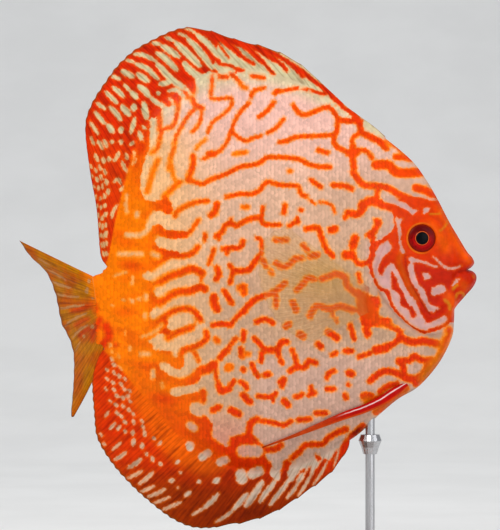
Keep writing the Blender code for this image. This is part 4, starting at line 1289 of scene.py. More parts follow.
def fin_rows(columns, number):
    """Rows for the places inside a fin and along its root."""
    edge_at, base, edge = columns
    reach = np.linalg.norm(edge - base, axis=1)
    rows = []
    for share, root, tip, length in zip(edge_at, base, edge, reach):
        if length < 0.7:
            continue
        count = max(2, int(round(length / FIN_SPACING)))
        out = np.append(np.arange(count) / count, 1 - 0.14 / length)
        places = root + (tip - root) * out[:, None]
        same = np.ones(len(out))
        rows.append(np.column_stack([
            places, number * same, share * same, out, root[0] * same, length * same,
        ]))
    return np.vstack(rows)


def inset_line(path, distance):
    """The path moved to its right."""
    run = np.gradient(path, axis=0)
    run /= np.maximum(np.linalg.norm(run, axis=1), 1e-9)[:, None]
    return path + distance * np.stack([run[:, 1], -run[:, 0]], axis=1)


def cut_path(path, start_x, end_x):
    last = 1.0 if end_x <= path[-1, 0] + 0.01 else share_at_x(path, end_x)
    return along(path, np.linspace(share_at_x(path, start_x), last, 240))


UPPER_PATH = dense_path(UPPER_MUZZLE + BACK[:2])[: 24 * len(UPPER_MUZZLE) + 1]
LOWER_PATH = dense_path(LOWER_MUZZLE + BELLY[:2])[: 24 * len(LOWER_MUZZLE) + 1]
NAPE = cut_path(BACK_PATH, BACK[0][0], DORSAL_BASE_X[0])
THROAT = cut_path(BELLY_PATH, BELLY[0][0], ANAL_BASE_X[0])
BARE_RIM = np.vstack([THROAT[::-6], LOWER_PATH[::-4], UPPER_PATH[::4], NAPE[::6]])


def skin_outline(dorsal, anal):
    """Rows of the closed side outline, and where the tail stalk's end starts in them."""
    after_dorsal = cut_path(BACK_PATH, DORSAL_BASE_X[1] - 0.5, BACK[-1][0])
    stalk = np.linspace(BACK[-1], BELLY[-1], TAIL_COLUMNS)
    before = [
        plain_rows(evenly(UPPER_PATH, 0.45)[:-1]),
        plain_rows(evenly(NAPE, 0.5)[:-1]),
        edge_rows(dorsal, 1),
        plain_rows(evenly(after_dorsal, 0.5)[:-1]),
    ]
    after = [
        plain_rows(stalk),
        edge_rows(anal, 2)[::-1],
        plain_rows(evenly(THROAT[::-1], 0.5)[1:-1]),
        plain_rows(evenly(LOWER_PATH[::-1], 0.45)[:-1]),
    ]
    return np.vstack(before + after), sum(len(rows) for rows in before)


def hex_points(spacing, low, high):
    rows = []
    for number, z in enumerate(np.arange(low[1], high[1], spacing * 0.866)):
        x = np.arange(low[0], high[0], spacing) + (number % 2) * spacing / 2
        rows.append(np.column_stack([x, np.full(len(x), z)]))
    return np.vstack(rows)


# Lines of places beside seams and rims, by their distance from them, and round the eye.
SEAM_LINES = (-0.5, -0.15, 0.15, 0.5)
RIM_LINES = (0.1, 0.32, 0.72)
LID_RADII = (4.6, 4.95, 5.2, 5.45, 5.8, 6.3)


def flesh_places(stalk):
    """Places on the flesh: an even net, closer on the head, and lines beside rims and seams."""
    flesh_outline = np.vstack([BARE_RIM, BACK_PATH[BACK_PATH[:, 0] < DORSAL_BASE_X[0]][::4],
                               stalk[::6], BELLY_PATH[BELLY_PATH[:, 0] < ANAL_BASE_X[0]][::-4]])
    seam = dense_path(GILL_SEAM, 12)
    seam = evenly(seam[seam[:, 1] < 150.0], 0.5)
    beside_seam = np.vstack([inset_line(seam, shift) for shift in SEAM_LINES])
    eye_rings = []
    for radius in LID_RADII:
        angle = np.arange(0, 2 * math.pi, 0.42 / radius)
        eye_rings.append(np.column_stack([
            EYE_CENTRE[0] + radius * np.cos(angle), EYE_CENTRE[1] + radius * np.sin(angle),
        ]))
    eye_rings = np.vstack(eye_rings)
    body = hex_points(BODY_SPACING, (-71.0, 46.0), (27.0, 192.0))
    face = hex_points(FACE_SPACING, (27.6, 60.0), (68.0, 176.0))
    closed = np.vstack([flesh_outline, flesh_outline[:1]])

    def clear(points, margin):
        return points[within(points, flesh_outline) & (distance_to(points, closed) > margin)]

    body = clear(body, 0.9)
    face = clear(face, 1.2)
    face = face[distance_to(face, seam) > 0.85]
    from_eye = np.hypot(face[:, 0] - EYE_CENTRE[0], face[:, 1] - EYE_CENTRE[1])
    face = face[(from_eye < 4.2) | (from_eye > 6.7)]
    beside_rim = [clear(inset_line(BARE_PATH, depth), depth * 0.8) for depth in RIM_LINES]
    return np.vstack([body, face, clear(beside_seam, 1.1), clear(eye_rings, 0.5), *beside_rim])


BARE_PATH = np.vstack([
    evenly(THROAT[::-1], 0.5)[:-1], evenly(LOWER_PATH[::-1], 0.45)[:-1],
    evenly(UPPER_PATH, 0.45)[:-1], evenly(NAPE, 0.5),
])


def side_net(dorsal, anal):
    """Rows of all places, triangles, which rows are on the rim, and the stalk end's rows."""
    outline, stalk_from = skin_outline(dorsal, anal)
    stalk = outline[stalk_from : stalk_from + TAIL_COLUMNS, :2]
    flesh = plain_rows(flesh_places(stalk))
    rows = np.vstack([outline, fin_rows(dorsal, 1), fin_rows(anal, 2), flesh])
    border = len(outline)
    loop = [(i, (i + 1) % border) for i in range(border)]
    places = [Vector(point) for point in rows[:, :2]]
    found = delaunay_2d_cdt(places, loop, [], 1, 1e-4)
    sources = np.array([origin[0] if origin else -1 for origin in found[3]])
    faces = np.array(found[2])
    order = {int(source): index for index, source in enumerate(sources)}
    merged = rows[sources]
    rim = sources < border
    stalk_rows = np.array([order[stalk_from + step] for step in range(TAIL_COLUMNS)])
    rim[stalk_rows[1:-1]] = False
    return merged, faces, rim, stalk_rows


def fin_half(share, out, spines, reach):
    """Half thickness of a fin, with its rays standing out."""
    plain = FIN_ROOT + (FIN_EDGE - FIN_ROOT) * out**0.8
    rays = ray_count(share, spines)
    crest = np.cos(2 * math.pi * rays)
    split = np.cos(4 * math.pi * rays)
    soft = crest + (split - crest) * smoothstep(0.45, 0.8, out)
    spiny = 0.24 * np.maximum(crest, -0.1) - 0.08
    relief = np.where(share < spines[2], spiny, 0.06 * soft)
    return plain + relief * smoothstep(0.02, 0.2, out) * np.minimum(reach / 6.0, 1.0)


def skin_shape(rows):
    """Middle y and half thickness for each row of the side net."""
    x, z, number, share, out, root_x, reach = rows.T
    points = rows[:, :2]
    near = (x > 15.0) | (number > 0)
    rim = np.full(len(x), FAR_FROM_EDGE)
    rim[near] = distance_to(points[near], BARE_RIM)
    half = skin_half(x, z, rim)
    for fin, spines in ((1, DORSAL_SPINES), (2, ANAL_SPINES)):
        on = number == fin
        half[on] = fin_half(share[on], out[on], spines, reach[on])
    lag = np.clip((share - 0.45) / 0.55, 0.0, 1.0) ** 2
    sweep = np.where(number == 1, FIN_SWEEP[0], FIN_SWEEP[1])
    middle = sideways(root_x) + sweep * lag * out * np.minimum(reach / 10.0, 1.0)
    return middle, half


def tail_rows(stalk, stalk_half):
    """Grids of x, z, middle y and half thickness of the tail fin, rows from root to edge."""
    share = lengths_along(stalk) / lengths_along(stalk)[-1]
    edge = along(dense_path(TAIL_EDGE), share)
    run = edge - stalk
    run /= np.linalg.norm(run, axis=1)[:, None]
    scallop = 0.12 * (1 - np.cos(2 * math.pi * TAIL_RAYS * share))
    edge = edge - run * scallop[:, None]
    out = np.linspace(0.0, 1.0, TAIL_ROWS)[:, None]
    flat = stalk + (edge - stalk) * out[:, :, None]
    flat[:, :, 0] += TAIL_BOW * share**5 * np.sqrt(out) * (1 - out)
    swing = smooth_values(TAIL_SWING, share)
    middle = sideways(stalk[:, 0]) + swing * out**1.25
    thin = FIN_EDGE + (stalk_half - FIN_EDGE) * (1 - out) ** 2.2
    crest = np.cos(2 * math.pi * TAIL_RAYS * share)
    split = np.cos(4 * math.pi * TAIL_RAYS * share)
    relief = 0.1 * (crest + (split - crest) * smoothstep(0.4, 0.75, out)) * smoothstep(0.0, 0.15, out)
    from_side = np.minimum(share, 1 - share) * TAIL_COLUMNS
    ease = np.sqrt(np.clip(from_side / 4.0, 0, 1))
    half = (thin + relief) * np.where(out > 0, ease, 1.0)
    return flat, middle, half, share, out


TAIL_LINES = [
    (0.9, (38, 258), (44, 262), (50, 265)),
    (1.0, (48, 270), (54, 273), (61, 277), (66, 280)),
    (1.3, (52, 281), (58, 284), (64, 286), (71, 288)),
    (1.3, (55, 293.5), (60, 295), (65, 295.7)),
    (1.1, (66, 296), (73, 297), (79, 296.5)),
    (1.3, (58, 309), (65, 308), (71, 306.5), (78, 306), (85, 304.5)),
    (1.3, (64, 327.5), (68, 323), (74, 319), (80, 316), (87, 313)),
    (1.3, (72, 338.5), (76, 334), (81, 329), (88, 325)),
    (0.8, (76, 352), (78, 346), (81, 341)),
    (1.6, (89, 279), (89, 283)),
    (1.6, (87, 288), (87, 293)),
    (1.5, (92, 298), (94, 298)),
    (1.5, (84, 335), (84, 338)),
    (1.6, (92, 325), (93, 328)),
]
TAIL_RED = [
    (3.0, (93, 303), (96, 311)),
    (3.2, (99, 320), (94, 330), (93, 340)),
    (2.5, (72, 311), (80, 309), (88, 306)),
    (2.5, (76, 325), (82, 321), (88, 319)),
    (2.0, (80, 336), (84, 331), (89, 329)),
]


def tail_colours(x, z, middle, out):
    """(mark, ground colour, colour of the pale rays) on the tail fin."""
    u, v = seen_plan(x, z, -middle)
    field = np.full(PLAN_U.shape, -4.0)
    lay(field, TAIL_LINES, 1, 0.5)
    mark = sample(blurred(field, 0.5), u + 0.5 * ripple(u, v, 7.0, 31), v + 0.5 * ripple(u, v, 6.0, 32))
    ground = blend(linear(TAIL_AMBER), linear(TAIL_ORANGE), smoothstep(-0.5, 0.6, ripple(u, v, 22.0, 33)))
    upper = smoothstep(290, 262, v) * smoothstep(45, 65, u)
    ground = blend(ground, linear(TAIL_DOT), 0.6 * upper * smoothstep(-0.3, 0.8, ripple(u, v, 6.0, 34)))
    ground = blend(ground, linear(TAIL_RED_PAINT), 0.8 * sample(cover_of(TAIL_RED, 2.0, 1.2), u, v))
    ground = blend(ground, linear(ORANGE), 0.8 * smoothstep(0.2, 0.0, out) * smoothstep(335, 300, v))
    line = np.tile(linear(TAIL_PALE), (*np.shape(x), 1))
    return mark, ground, line


class Net:
    """Vertices, faces and vertex values, gathered from several parts into one mesh."""

    def __init__(self):
        self.verts = []
        self.faces = []
        self.values = {}
        self.count = 0

    def add(self, verts, faces, **values):
        verts = np.asarray(verts, float).reshape(-1, 3)
        start = self.count
        self.verts.append(verts)
        self.faces.append(np.asarray(faces, int) + start)
        self.count += len(verts)
        for key, value in values.items():
            self.values.setdefault(key, []).append(np.asarray(value, float).reshape(len(verts), -1))
        return start

    def mesh(self, name):
        made = bpy.data.meshes.new(name)
        faces = [face for group in self.faces for face in group.tolist()]
        made.from_pydata((np.vstack(self.verts) * MM).tolist(), [], faces)
        for key, parts in self.values.items():
            value = np.vstack(parts)
            if value.shape[1] == 3:
                held = made.attributes.new(key, "FLOAT_COLOR", "POINT")
                opaque = np.column_stack([value, np.ones(len(value))])
                held.data.foreach_set("color", opaque.astype(np.float32).ravel())
            else:
                held = made.attributes.new(key, "FLOAT", "POINT")
                held.data.foreach_set("value", value.astype(np.float32).ravel())
        made.shade_smooth()
        return made


def piece(name, mesh, material, slot_name, *nodes):
    """A finished piece of the fish that stands for the named CAD nodes."""
    made = bpy.data.objects.new(name, mesh)
    bpy.context.scene.collection.objects.link(made)
    mesh.materials.append(material)
    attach(made, "root")
    if nodes:
        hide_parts(*nodes)
    return made


def build_skin(material):
    dorsal = fin_columns(base_of_fin(BACK_PATH, DORSAL_BASE_X), dense_path(DORSAL_EDGE),
                         DORSAL_LEAN, DORSAL_SPINES, FIN_SPACING)
    anal = fin_columns(base_of_fin(BELLY_PATH, ANAL_BASE_X), dense_path(ANAL_EDGE),
                       ANAL_LEAN, ANAL_SPINES, FIN_SPACING)
    rows, faces, rim, stalk_rows = side_net(dorsal, anal)
    middle, half = skin_shape(rows)
    x, z, number, share, out, _, reach = rows.T
    on_fin = np.where(number > 0, smoothstep(0.0, 1.5, out * reach), 0.0)
    rays = np.where(number == 1, ray_count(share, DORSAL_SPINES), ray_count(share, ANAL_SPINES))
    to_edge = np.where(number > 0, (1 - out) * reach, FAR_FROM_EDGE)
    net = Net()
    place_of = {}
    for side in (-1, 1):
        mark, ground, line = colours_at(x, z, side, on_fin, half)
        own = np.ones(len(x), bool) if side < 0 else ~rim
        y = middle + side * np.where(rim, 0.0, half)
        start = net.count
        index = np.cumsum(own) - 1 + start
        if side > 0:
            index[rim] = place_of[-1][rim]
        place_of[side] = index
        turned = faces if side < 0 else faces[:, ::-1]
        points = np.stack([x, y, z], axis=1)[own]
        net.add(points, index[turned] - start, mark=mark[own], ground=ground[own],
                line=line[own], ray=rays[own], fin=on_fin[own], out=(out * reach)[own],
                edge=to_edge[own])
    add_tail(net, place_of, rows[stalk_rows, :2], half[stalk_rows], stalk_rows)
    made = piece("skin", net.mesh("skin"), material, "scaled_skin", *FLESH_NODES)
    return made


FLESH_NODES = (
    "head", "upper_lip", "lower_lip", "gill_cover_right", "gill_cover_left", "trunk",
    "tail_stalk", "dorsal_fin_spiny", "dorsal_fin_soft", "anal_fin_spiny", "anal_fin_soft",
    "tail_fin",
)


def add_tail(net, place_of, stalk, stalk_half, stalk_rows):
    """Both sides of the tail fin, grown from the stalk's end."""
    flat, middle, half, share, out = tail_rows(stalk, stalk_half)
    mark, ground, line = tail_colours(flat[:, :, 0], flat[:, :, 1], middle, out)
    shared = np.zeros(half.shape, bool)
    shared[-1, :] = True
    shared[:, 0] = True
    shared[:, -1] = True
    index = {}
    length = np.linalg.norm(flat[-1] - flat[0], axis=1)
    for side in (-1, 1):
        y = middle + side * np.where(shared, 0.0, half)
        own = np.ones(half.shape, bool) if side < 0 else ~shared
        own[0, :] = False
        start = net.count
        place = np.cumsum(own.ravel()).reshape(own.shape) - 1 + start
        place[0, :] = place_of[side][stalk_rows]
        if side > 0:
            place[1:][shared[1:]] = index[-1][1:][shared[1:]]
        index[side] = place
        corner = np.stack([place[:-1, :-1], place[:-1, 1:], place[1:, 1:], place[1:, :-1]], axis=-1)
        corner = corner.reshape(-1, 4)
        turned = corner[:, ::-1] if side < 0 else corner
        points = np.stack([flat[:, :, 0], y, flat[:, :, 1]], axis=-1)[own]
        ray = np.broadcast_to(share * TAIL_RAYS, own.shape)[own]
        net.add(points, turned - start, mark=mark[own], ground=ground[own], line=line[own],
                ray=ray, fin=np.ones(own.sum()), out=(out * length)[own],
                edge=((1 - out) * length)[own])


# The scales.

GRID_STEP = 0.5
GRID_LOW = (-74.0, 40.0)
GRID_SIZE = (290, 310)


def surface_grids():
    """Half thickness of the skin on an even grid, and its slopes."""
    x = GRID_LOW[0] + GRID_STEP * np.arange(GRID_SIZE[0])
    z = GRID_LOW[1] + GRID_STEP * np.arange(GRID_SIZE[1])
    gx, gz = np.meshgrid(x, z)
    flat = np.stack([gx.ravel(), gz.ravel()], axis=1)
    rim = distance_to(flat, BARE_RIM)
    half = skin_half(flat[:, 0], flat[:, 1], rim).reshape(gx.shape)
    slope_z, slope_x = np.gradient(half, GRID_STEP)
    return half, slope_x, slope_z


def read_grid(grid, x, z):
    column = np.clip((x - GRID_LOW[0]) / GRID_STEP, 0, GRID_SIZE[0] - 1.001)
    row = np.clip((z - GRID_LOW[1]) / GRID_STEP, 0, GRID_SIZE[1] - 1.001)
    c = column.astype(int)
    r = row.astype(int)
    fc = column - c
    fr = row - r
    top = grid[r, c] * (1 - fc) + grid[r, c + 1] * fc
    low = grid[r + 1, c] * (1 - fc) + grid[r + 1, c + 1] * fc
    return top * (1 - fr) + low * fr


def scale_places():
    """Root places of the scales, (x, z), in staggered rows that close up towards the tail."""
    rows = []
    for column, x in enumerate(np.arange(48.0, -69.0, -SCALE_STEP)):
        top = height_at(BACK_PATH, x)
        bottom = height_at(BELLY_PATH, x)
        middle = 0.5 * (top + bottom)
        close = 1.0 - 0.1 * ((x + 8.0) / 62.0) ** 2
        pitch = SCALE_ROW * close
        number = np.arange(-60, 61) + 0.5 * (column % 2)
        z = middle + (number * pitch) * 1.0
        z = z[(z > bottom + 0.7) & (z < top - 0.7)]
        rows.append(np.column_stack([np.full(len(z), x), z]))
    places = np.vstack(rows)
    places += SCALE_JITTER * RANDOM.standard_normal(places.shape)
    on_flesh = distance_to(places, BACK_PATH[::6]) > BARE_STRIP
    on_flesh &= distance_to(places, BELLY_PATH[::6]) > BARE_STRIP
    behind_gill = gill_side(places) < -BARE_BEHIND_GILL
    from_pad = (places - PECTORAL_PAD) / PECTORAL_PAD_RADII
    pad = np.hypot(from_pad[:, 0], from_pad[:, 1])
    return places[on_flesh & behind_gill & (pad > 1.0)]


# Outline of a scale: x towards its free edge, up, and height over the skin, in mm.
SCALE_OUTLINE = [
    (-0.55, 0.0, -0.07), (-0.42, 0.55, -0.06), (0.0, 0.86, -0.02), (0.5, 0.88, 0.01),
    (0.98, 0.66, 0.045), (1.3, 0.3, 0.065), (1.4, 0.0, 0.07), (1.3, -0.3, 0.065),
    (0.98, -0.66, 0.045), (0.5, -0.88, 0.01), (0.0, -0.86, -0.02), (-0.42, -0.55, -0.06),
]


def scale_net(side, grids):
    half, slope_x, slope_z = grids
    roots = scale_places()
    count = len(roots)
    outline = np.array(SCALE_OUTLINE)
    local = np.vstack([outline, [(0.45, 0.0, 0.035)], [(0.3, 0.0, -0.2)]])
    size = RANDOM.uniform(0.94, 1.06, count)
    tilt = RANDOM.normal(0.0, 0.03, count)
    turn = RANDOM.normal(0.0, 0.07, count)
    along_x = local[None, :, 0] * size[:, None]
    up = local[None, :, 1] * size[:, None] * (SCALE_ROW / 1.5)
    place_x = roots[:, :1] - (along_x - up * turn[:, None])
    place_z = roots[:, 1:] + up + along_x * turn[:, None]
    shrink = smoothstep(0.0, 3.0, read_grid(half, place_x, place_z))
    high = (local[None, :, 2] + up * tilt[:, None]) * (0.5 + 0.5 * shrink)
    surface = read_grid(half, place_x, place_z)
    bend = -2 * BEND_RATE * np.maximum(BEND_START - place_x, 0.0)
    normal = np.stack([
        -side * bend - read_grid(slope_x, place_x, place_z),
        np.full(place_x.shape, float(side)),
        -read_grid(slope_z, place_x, place_z),
    ], axis=-1)
    normal /= np.linalg.norm(normal, axis=-1, keepdims=True)
    base = np.stack([place_x, sideways(place_x) + side * surface, place_z], axis=-1)
    verts = base + normal * high[:, :, None]
    ring = np.arange(SCALE_CORNERS)
    after = (ring + 1) % SCALE_CORNERS
    peak = np.full(SCALE_CORNERS, SCALE_CORNERS)
    top = np.stack([peak, ring, after], axis=1)
    under = np.stack([peak + 1, after, ring], axis=1)
    pattern = np.vstack([top, under])
    if side > 0:
        pattern = pattern[:, ::-1]
    faces = (pattern[None] + (SCALE_CORNERS + 2) * np.arange(count)[:, None, None]).reshape(-1, 3)
    own = SCALE_OWN_COLOUR
    paint_x = own * place_x + (1 - own) * (roots[:, :1] - 0.6)
    paint_z = own * place_z + (1 - own) * roots[:, 1:]
    mark, ground, line = colours_at(paint_x.ravel(), paint_z.ravel(), side,
                                    np.zeros(place_x.size), surface.ravel())
    # Painted shading of each scale's relief: rim grows towards the free rear edge, which the scale material
    # paints darker than the middle.
    rim = np.clip(np.concatenate([outline[:, 0] / 1.3, [0.25, 0.0]]), 0, 1) ** 2
    net = Net()
    net.add(verts, faces, mark=mark, ground=ground, line=line, rim=np.tile(rim, count),
            tint=np.repeat(RANDOM.uniform(-1, 1, count), SCALE_CORNERS + 2))
    return net, roots, local, faces


UNWRAP_MIDDLE = 118.0  # height at which the rolled-out skin keeps its place
UNWRAP_STEEPEST = 3.0
UNWRAP_MARGIN = 0.03


def unwrap(roots, slope_x, slope_z):
    """Places of the roots on the skin rolled out flat, from 0 to 1 both ways."""
    x = GRID_LOW[0] + GRID_STEP * np.arange(GRID_SIZE[0])
    middle_row = int((UNWRAP_MIDDLE - GRID_LOW[1]) / GRID_STEP)
    slope_along = np.clip(slope_x[middle_row], -UNWRAP_STEEPEST, UNWRAP_STEEPEST)
    slope_up = np.clip(slope_z, -UNWRAP_STEEPEST, UNWRAP_STEEPEST)
    run_x = np.cumsum(np.sqrt(1 + slope_along**2)) * GRID_STEP
    run_z = np.cumsum(np.sqrt(1 + slope_up**2), axis=0) * GRID_STEP
    run_z = run_z - run_z[middle_row]
    across = np.interp(roots[:, 0], x, run_x)
    up = read_grid(run_z, roots[:, 0], roots[:, 1])
    flat = np.stack([across, up], axis=1)
    flat -= flat.min(axis=0)
    return UNWRAP_MARGIN + (1 - 2 * UNWRAP_MARGIN) * flat / flat.max()


def add_bake_map(mesh, roots, local, faces, grids):
    """A UV map in which each scale has a small patch at its root's place."""
    centres = unwrap(roots, *grids[1:])
    shift = (local[:, :2] - SCALE_MIDDLE) * (BAKE_PATCH / SCALE_SPAN)
    uv = (centres[:, None, :] + shift[None, :, :]).reshape(-1, 2)
    layer = mesh.uv_layers.new(name="OFBake")
    layer.data.foreach_set("uv", uv[faces.ravel()].astype(np.float32).ravel())


def build_scales(material):
    grids = surface_grids()
    for name, side in (("scales_right", -1), ("scales_left", 1)):
        net, roots, local, faces = scale_net(side, grids)
        mesh = net.mesh(name)
        mesh.set_sharp_from_angle(angle=math.radians(30.0))
        add_bake_map(mesh, roots, local, faces, grids)
        piece(name, mesh, material, "scaled_skin")


# Eyes and paired fins.

EYE_AROUND = 96
EYE_RINGS = 56


def build_eye(name, side, material):
    """A ball with a domed pupil, a dished iris and a raised outer ring, poles sideways."""
    polar = np.linspace(0.0, math.pi, EYE_RINGS + 1)[1:-1]
    turn = np.linspace(0.0, 2 * math.pi, EYE_AROUND, endpoint=False)
    radius = EYE_RADII[0] * np.sin(polar)
    out = EYE_OUT + EYE_RADII[1] * np.cos(polar)
    front = polar < math.pi / 2
    relief = 0.16 * smoothstep(2.5, 1.7, radius) - 0.14 * np.exp(-(((radius - 3.1) / 0.7) ** 2))
    relief += 0.1 * np.exp(-(((radius - 4.7) / 0.35) ** 2))
    out = out + np.where(front, relief, 0.0)
    x = EYE_CENTRE[0] + radius[:, None] * np.cos(turn)
    z = EYE_CENTRE[1] + radius[:, None] * np.sin(turn)
    y = side * (out[:, None] + EYE_LEAN * (x - EYE_CENTRE[0]))
    rings = np.stack([x, y, z], axis=-1).reshape(-1, 3)
    poles = [(EYE_CENTRE[0], side * (EYE_OUT + EYE_RADII[1] + 0.16), EYE_CENTRE[1]),
             (EYE_CENTRE[0], side * (EYE_OUT - EYE_RADII[1]), EYE_CENTRE[1])]
    verts = np.vstack([rings, poles])
    first = len(rings)
    faces = []
    for column in range(EYE_AROUND):
        after = (column + 1) % EYE_AROUND
        faces.append((first, column, after, after))
        last = (len(polar) - 1) * EYE_AROUND
        faces.append((first + 1, last + after, last + column, last + column))
        for ring in range(len(polar) - 1):
            a = ring * EYE_AROUND
            b = a + EYE_AROUND
            faces.append((a + column, b + column, b + after, a + after))
    if side < 0:
        faces = [face[::-1] for face in faces]
    mesh = bpy.data.meshes.new(name)
    clean = [tuple(dict.fromkeys(face)) for face in faces]
    mesh.from_pydata((verts * MM).tolist(), [], clean)
    reach = np.append(np.repeat(radius, EYE_AROUND), [0.0, 0.0])
    held = mesh.attributes.new("radius", "FLOAT", "POINT")
    held.data.foreach_set("value", reach.astype(np.float32))
    height = mesh.attributes.new("height", "FLOAT", "POINT")
    height.data.foreach_set("value", ((verts[:, 2] - EYE_CENTRE[1]) / EYE_RADII[2]).astype(np.float32))
    mesh.shade_smooth()
    return piece(name, mesh, material, "eye", "eye_right" if side < 0 else "eye_left")


def plate_net(centres, halves, **values):
    """A thin closed plate round a grid of centre points; both its sides share the border."""
    rows, columns = halves.shape
    border = np.zeros(halves.shape, bool)
    border[[0, -1], :] = True
    border[:, [0, -1]] = True
    net = Net()
    index = {}
    for side in (-1, 1):
        own = np.ones(halves.shape, bool) if side < 0 else ~border
        start = net.count
        place = np.cumsum(own.ravel()).reshape(own.shape) - 1 + start
        if side > 0:
            place[border] = index[-1][border]
        index[side] = place
        corner = np.stack([place[:-1, :-1], place[:-1, 1:], place[1:, 1:], place[1:, :-1]], axis=-1)
        corner = corner.reshape(-1, 4)
        turned = corner if side < 0 else corner[:, ::-1]
        moved = centres.copy()
        moved[:, :, 1] += side * np.where(border, 0.0, halves)
        own_values = {key: value[own] for key, value in values.items()}
        net.add(moved[own], turned - start, **own_values)
    return net


PECTORAL_RAYS = 13


def build_pectoral(name, side, material):
    """A clear fan of rays that stands out from the side, rooted in a small fleshy pad."""
    share = np.linspace(0.0, 1.0, 106)
    out = np.linspace(-0.02, 1.0, 48)[:, None]
    angle = np.radians(np.interp(share, (0, 1), PECTORAL_ANGLES))
    crest = np.cos(2 * math.pi * PECTORAL_RAYS * share)
    reach = smooth_values(PECTORAL_REACH, share) - 0.3 * (1 - crest)
    base_z = PECTORAL_BASE[1] + PECTORAL_BASE_HEIGHT * (0.5 - share)
    x = PECTORAL_BASE[0] + reach * np.cos(angle) * out
    z = base_z + reach * np.sin(angle) * out
    start = flesh_half(np.full(share.shape, PECTORAL_BASE[0]), base_z) + 0.9
    start = start - 2.4 * smoothstep(0.07, -0.02, out)
    y = side * (start + reach * out * math.tan(PECTORAL_SPREAD))
    y = y + side * 0.5 * np.sin(math.pi * np.clip(out, 0, 1)) * np.sin(2 * math.pi * share)
    centres = np.stack([x, y, z], axis=-1)
    root = smoothstep(0.14, -0.02, out)
    halves = 0.07 + 0.35 * root + 0.1 * np.maximum(crest, 0.0) * (1 - root) * (1 - 0.6 * out)
    halves = halves * np.ones(x.shape)
    net = plate_net(centres, halves, ray=np.broadcast_to(share * PECTORAL_RAYS, x.shape),
                    out=np.broadcast_to(out, x.shape))
    node = "pectoral_fin_right" if side < 0 else "pectoral_fin_left"
    return piece(name, net.mesh(name), material, "clear_fin", node)


def build_pelvic(name, side, material):
    """A long narrow blade along the throat, its root sunk into the body."""
    share = np.linspace(0.0, 1.0, 150)
    line = along(dense_path(PELVIC_LINE), share)
    run = np.gradient(line, axis=0)
    run /= np.linalg.norm(run, axis=1)[:, None]
    up = np.stack([run[:, 1], -run[:, 0]], axis=1)
    width = smooth_values(PELVIC_WIDTH, share)
    across = np.linspace(-0.5, 0.5, 17)
    flat = line + up * width[:, None] * across[:, None, None]
    widest = flesh_half(flat[:, :, 0], flat[:, :, 1]).max(axis=0)
    sunk = 1.6 * smoothstep(0.1, 0.0, share)
    y = side * (widest + 0.75 - sunk + 0.4 * np.sin(share * math.pi)) * np.ones((17, 1))
    centres = np.stack([flat[:, :, 0], y, flat[:, :, 1]], axis=-1)
    ridge = 0.06 * np.cos(2 * math.pi * 4 * (across[:, None] + 0.5))
    halves = 0.14 + 0.2 * np.sqrt(np.maximum(1 - (2 * across[:, None]) ** 2, 0)) + ridge * np.ones((1, 150))
    net = plate_net(centres, halves, ray=np.broadcast_to(across[:, None] * 4, halves.shape),
                    across=np.broadcast_to(across[:, None], halves.shape),
                    out=np.broadcast_to(share, halves.shape))
    node = "pelvic_fin_right" if side < 0 else "pelvic_fin_left"
    return piece(name, net.mesh(name), material, "fin", node)


# Materials.


class Shader:
    """Adds nodes to one new material."""

    def __init__(self, name, **plain):
        self.material = bpy.data.materials.new(name)
        self.material.use_nodes = True
        self.tree = self.material.node_tree
        self.surface = self.tree.nodes["Principled BSDF"]
        for key, value in plain.items():
            self.surface.inputs[key.replace("_", " ")].default_value = value

    def feed(self, socket, value):
        if isinstance(value, bpy.types.NodeSocket):
            self.tree.links.new(value, socket)
        else:
            socket.default_value = value

    def attribute(self, name, output="Fac"):
        made = self.tree.nodes.new("ShaderNodeAttribute")
        made.attribute_name = name
        return made.outputs[output]

    def coordinates(self):
        return self.tree.nodes.new("ShaderNodeTexCoord").outputs["Object"]

    def stretched(self, scale):
        made = self.tree.nodes.new("ShaderNodeMapping")
        self.feed(made.inputs["Vector"], self.coordinates())
        made.inputs["Scale"].default_value = scale
        return made.outputs["Vector"]

    def noise(self, scale, detail=2.0, vector=None, roughness=0.5):
        made = self.tree.nodes.new("ShaderNodeTexNoise")
        self.feed(made.inputs["Vector"], vector or self.coordinates())
        made.inputs["Scale"].default_value = scale
        made.inputs["Detail"].default_value = detail
        made.inputs["Roughness"].default_value = roughness
        return made.outputs["Fac"]

    def math(self, operation, a, b=0.0):
        made = self.tree.nodes.new("ShaderNodeMath")
        made.operation = operation
        self.feed(made.inputs[0], a)
        self.feed(made.inputs[1], b)
        return made.outputs[0]

    def ramp(self, value, low, high, to_low=0.0, to_high=1.0):
        made = self.tree.nodes.new("ShaderNodeMapRange")
        made.interpolation_type = "SMOOTHSTEP"
        self.feed(made.inputs["Value"], value)
        for key, number in zip(("From Min", "From Max", "To Min", "To Max"),
                               (low, high, to_low, to_high)):
            made.inputs[key].default_value = number
        return made.outputs[0]

    def mix(self, share, a, b, kind="MIX"):
        made = self.tree.nodes.new("ShaderNodeMix")
        made.data_type = "RGBA"
        made.blend_type = kind
        self.feed(made.inputs[0], share)
        self.feed(made.inputs[6], a)
        self.feed(made.inputs[7], b)
        return made.outputs[2]

    def grey(self, value):
        made = self.tree.nodes.new("ShaderNodeCombineColor")
        for socket in made.inputs:
            self.feed(socket, value)
        return made.outputs[0]

    def bump(self, height, strength, distance):
        made = self.tree.nodes.new("ShaderNodeBump")
        made.inputs["Strength"].default_value = strength
        made.inputs["Distance"].default_value = distance
        self.feed(made.inputs["Height"], height)
        self.feed(self.surface.inputs["Normal"], made.outputs["Normal"])

    def set(self, key, value):
        self.feed(self.surface.inputs[key], value)


def paint(colour):
    return (*linear(colour), 1.0)


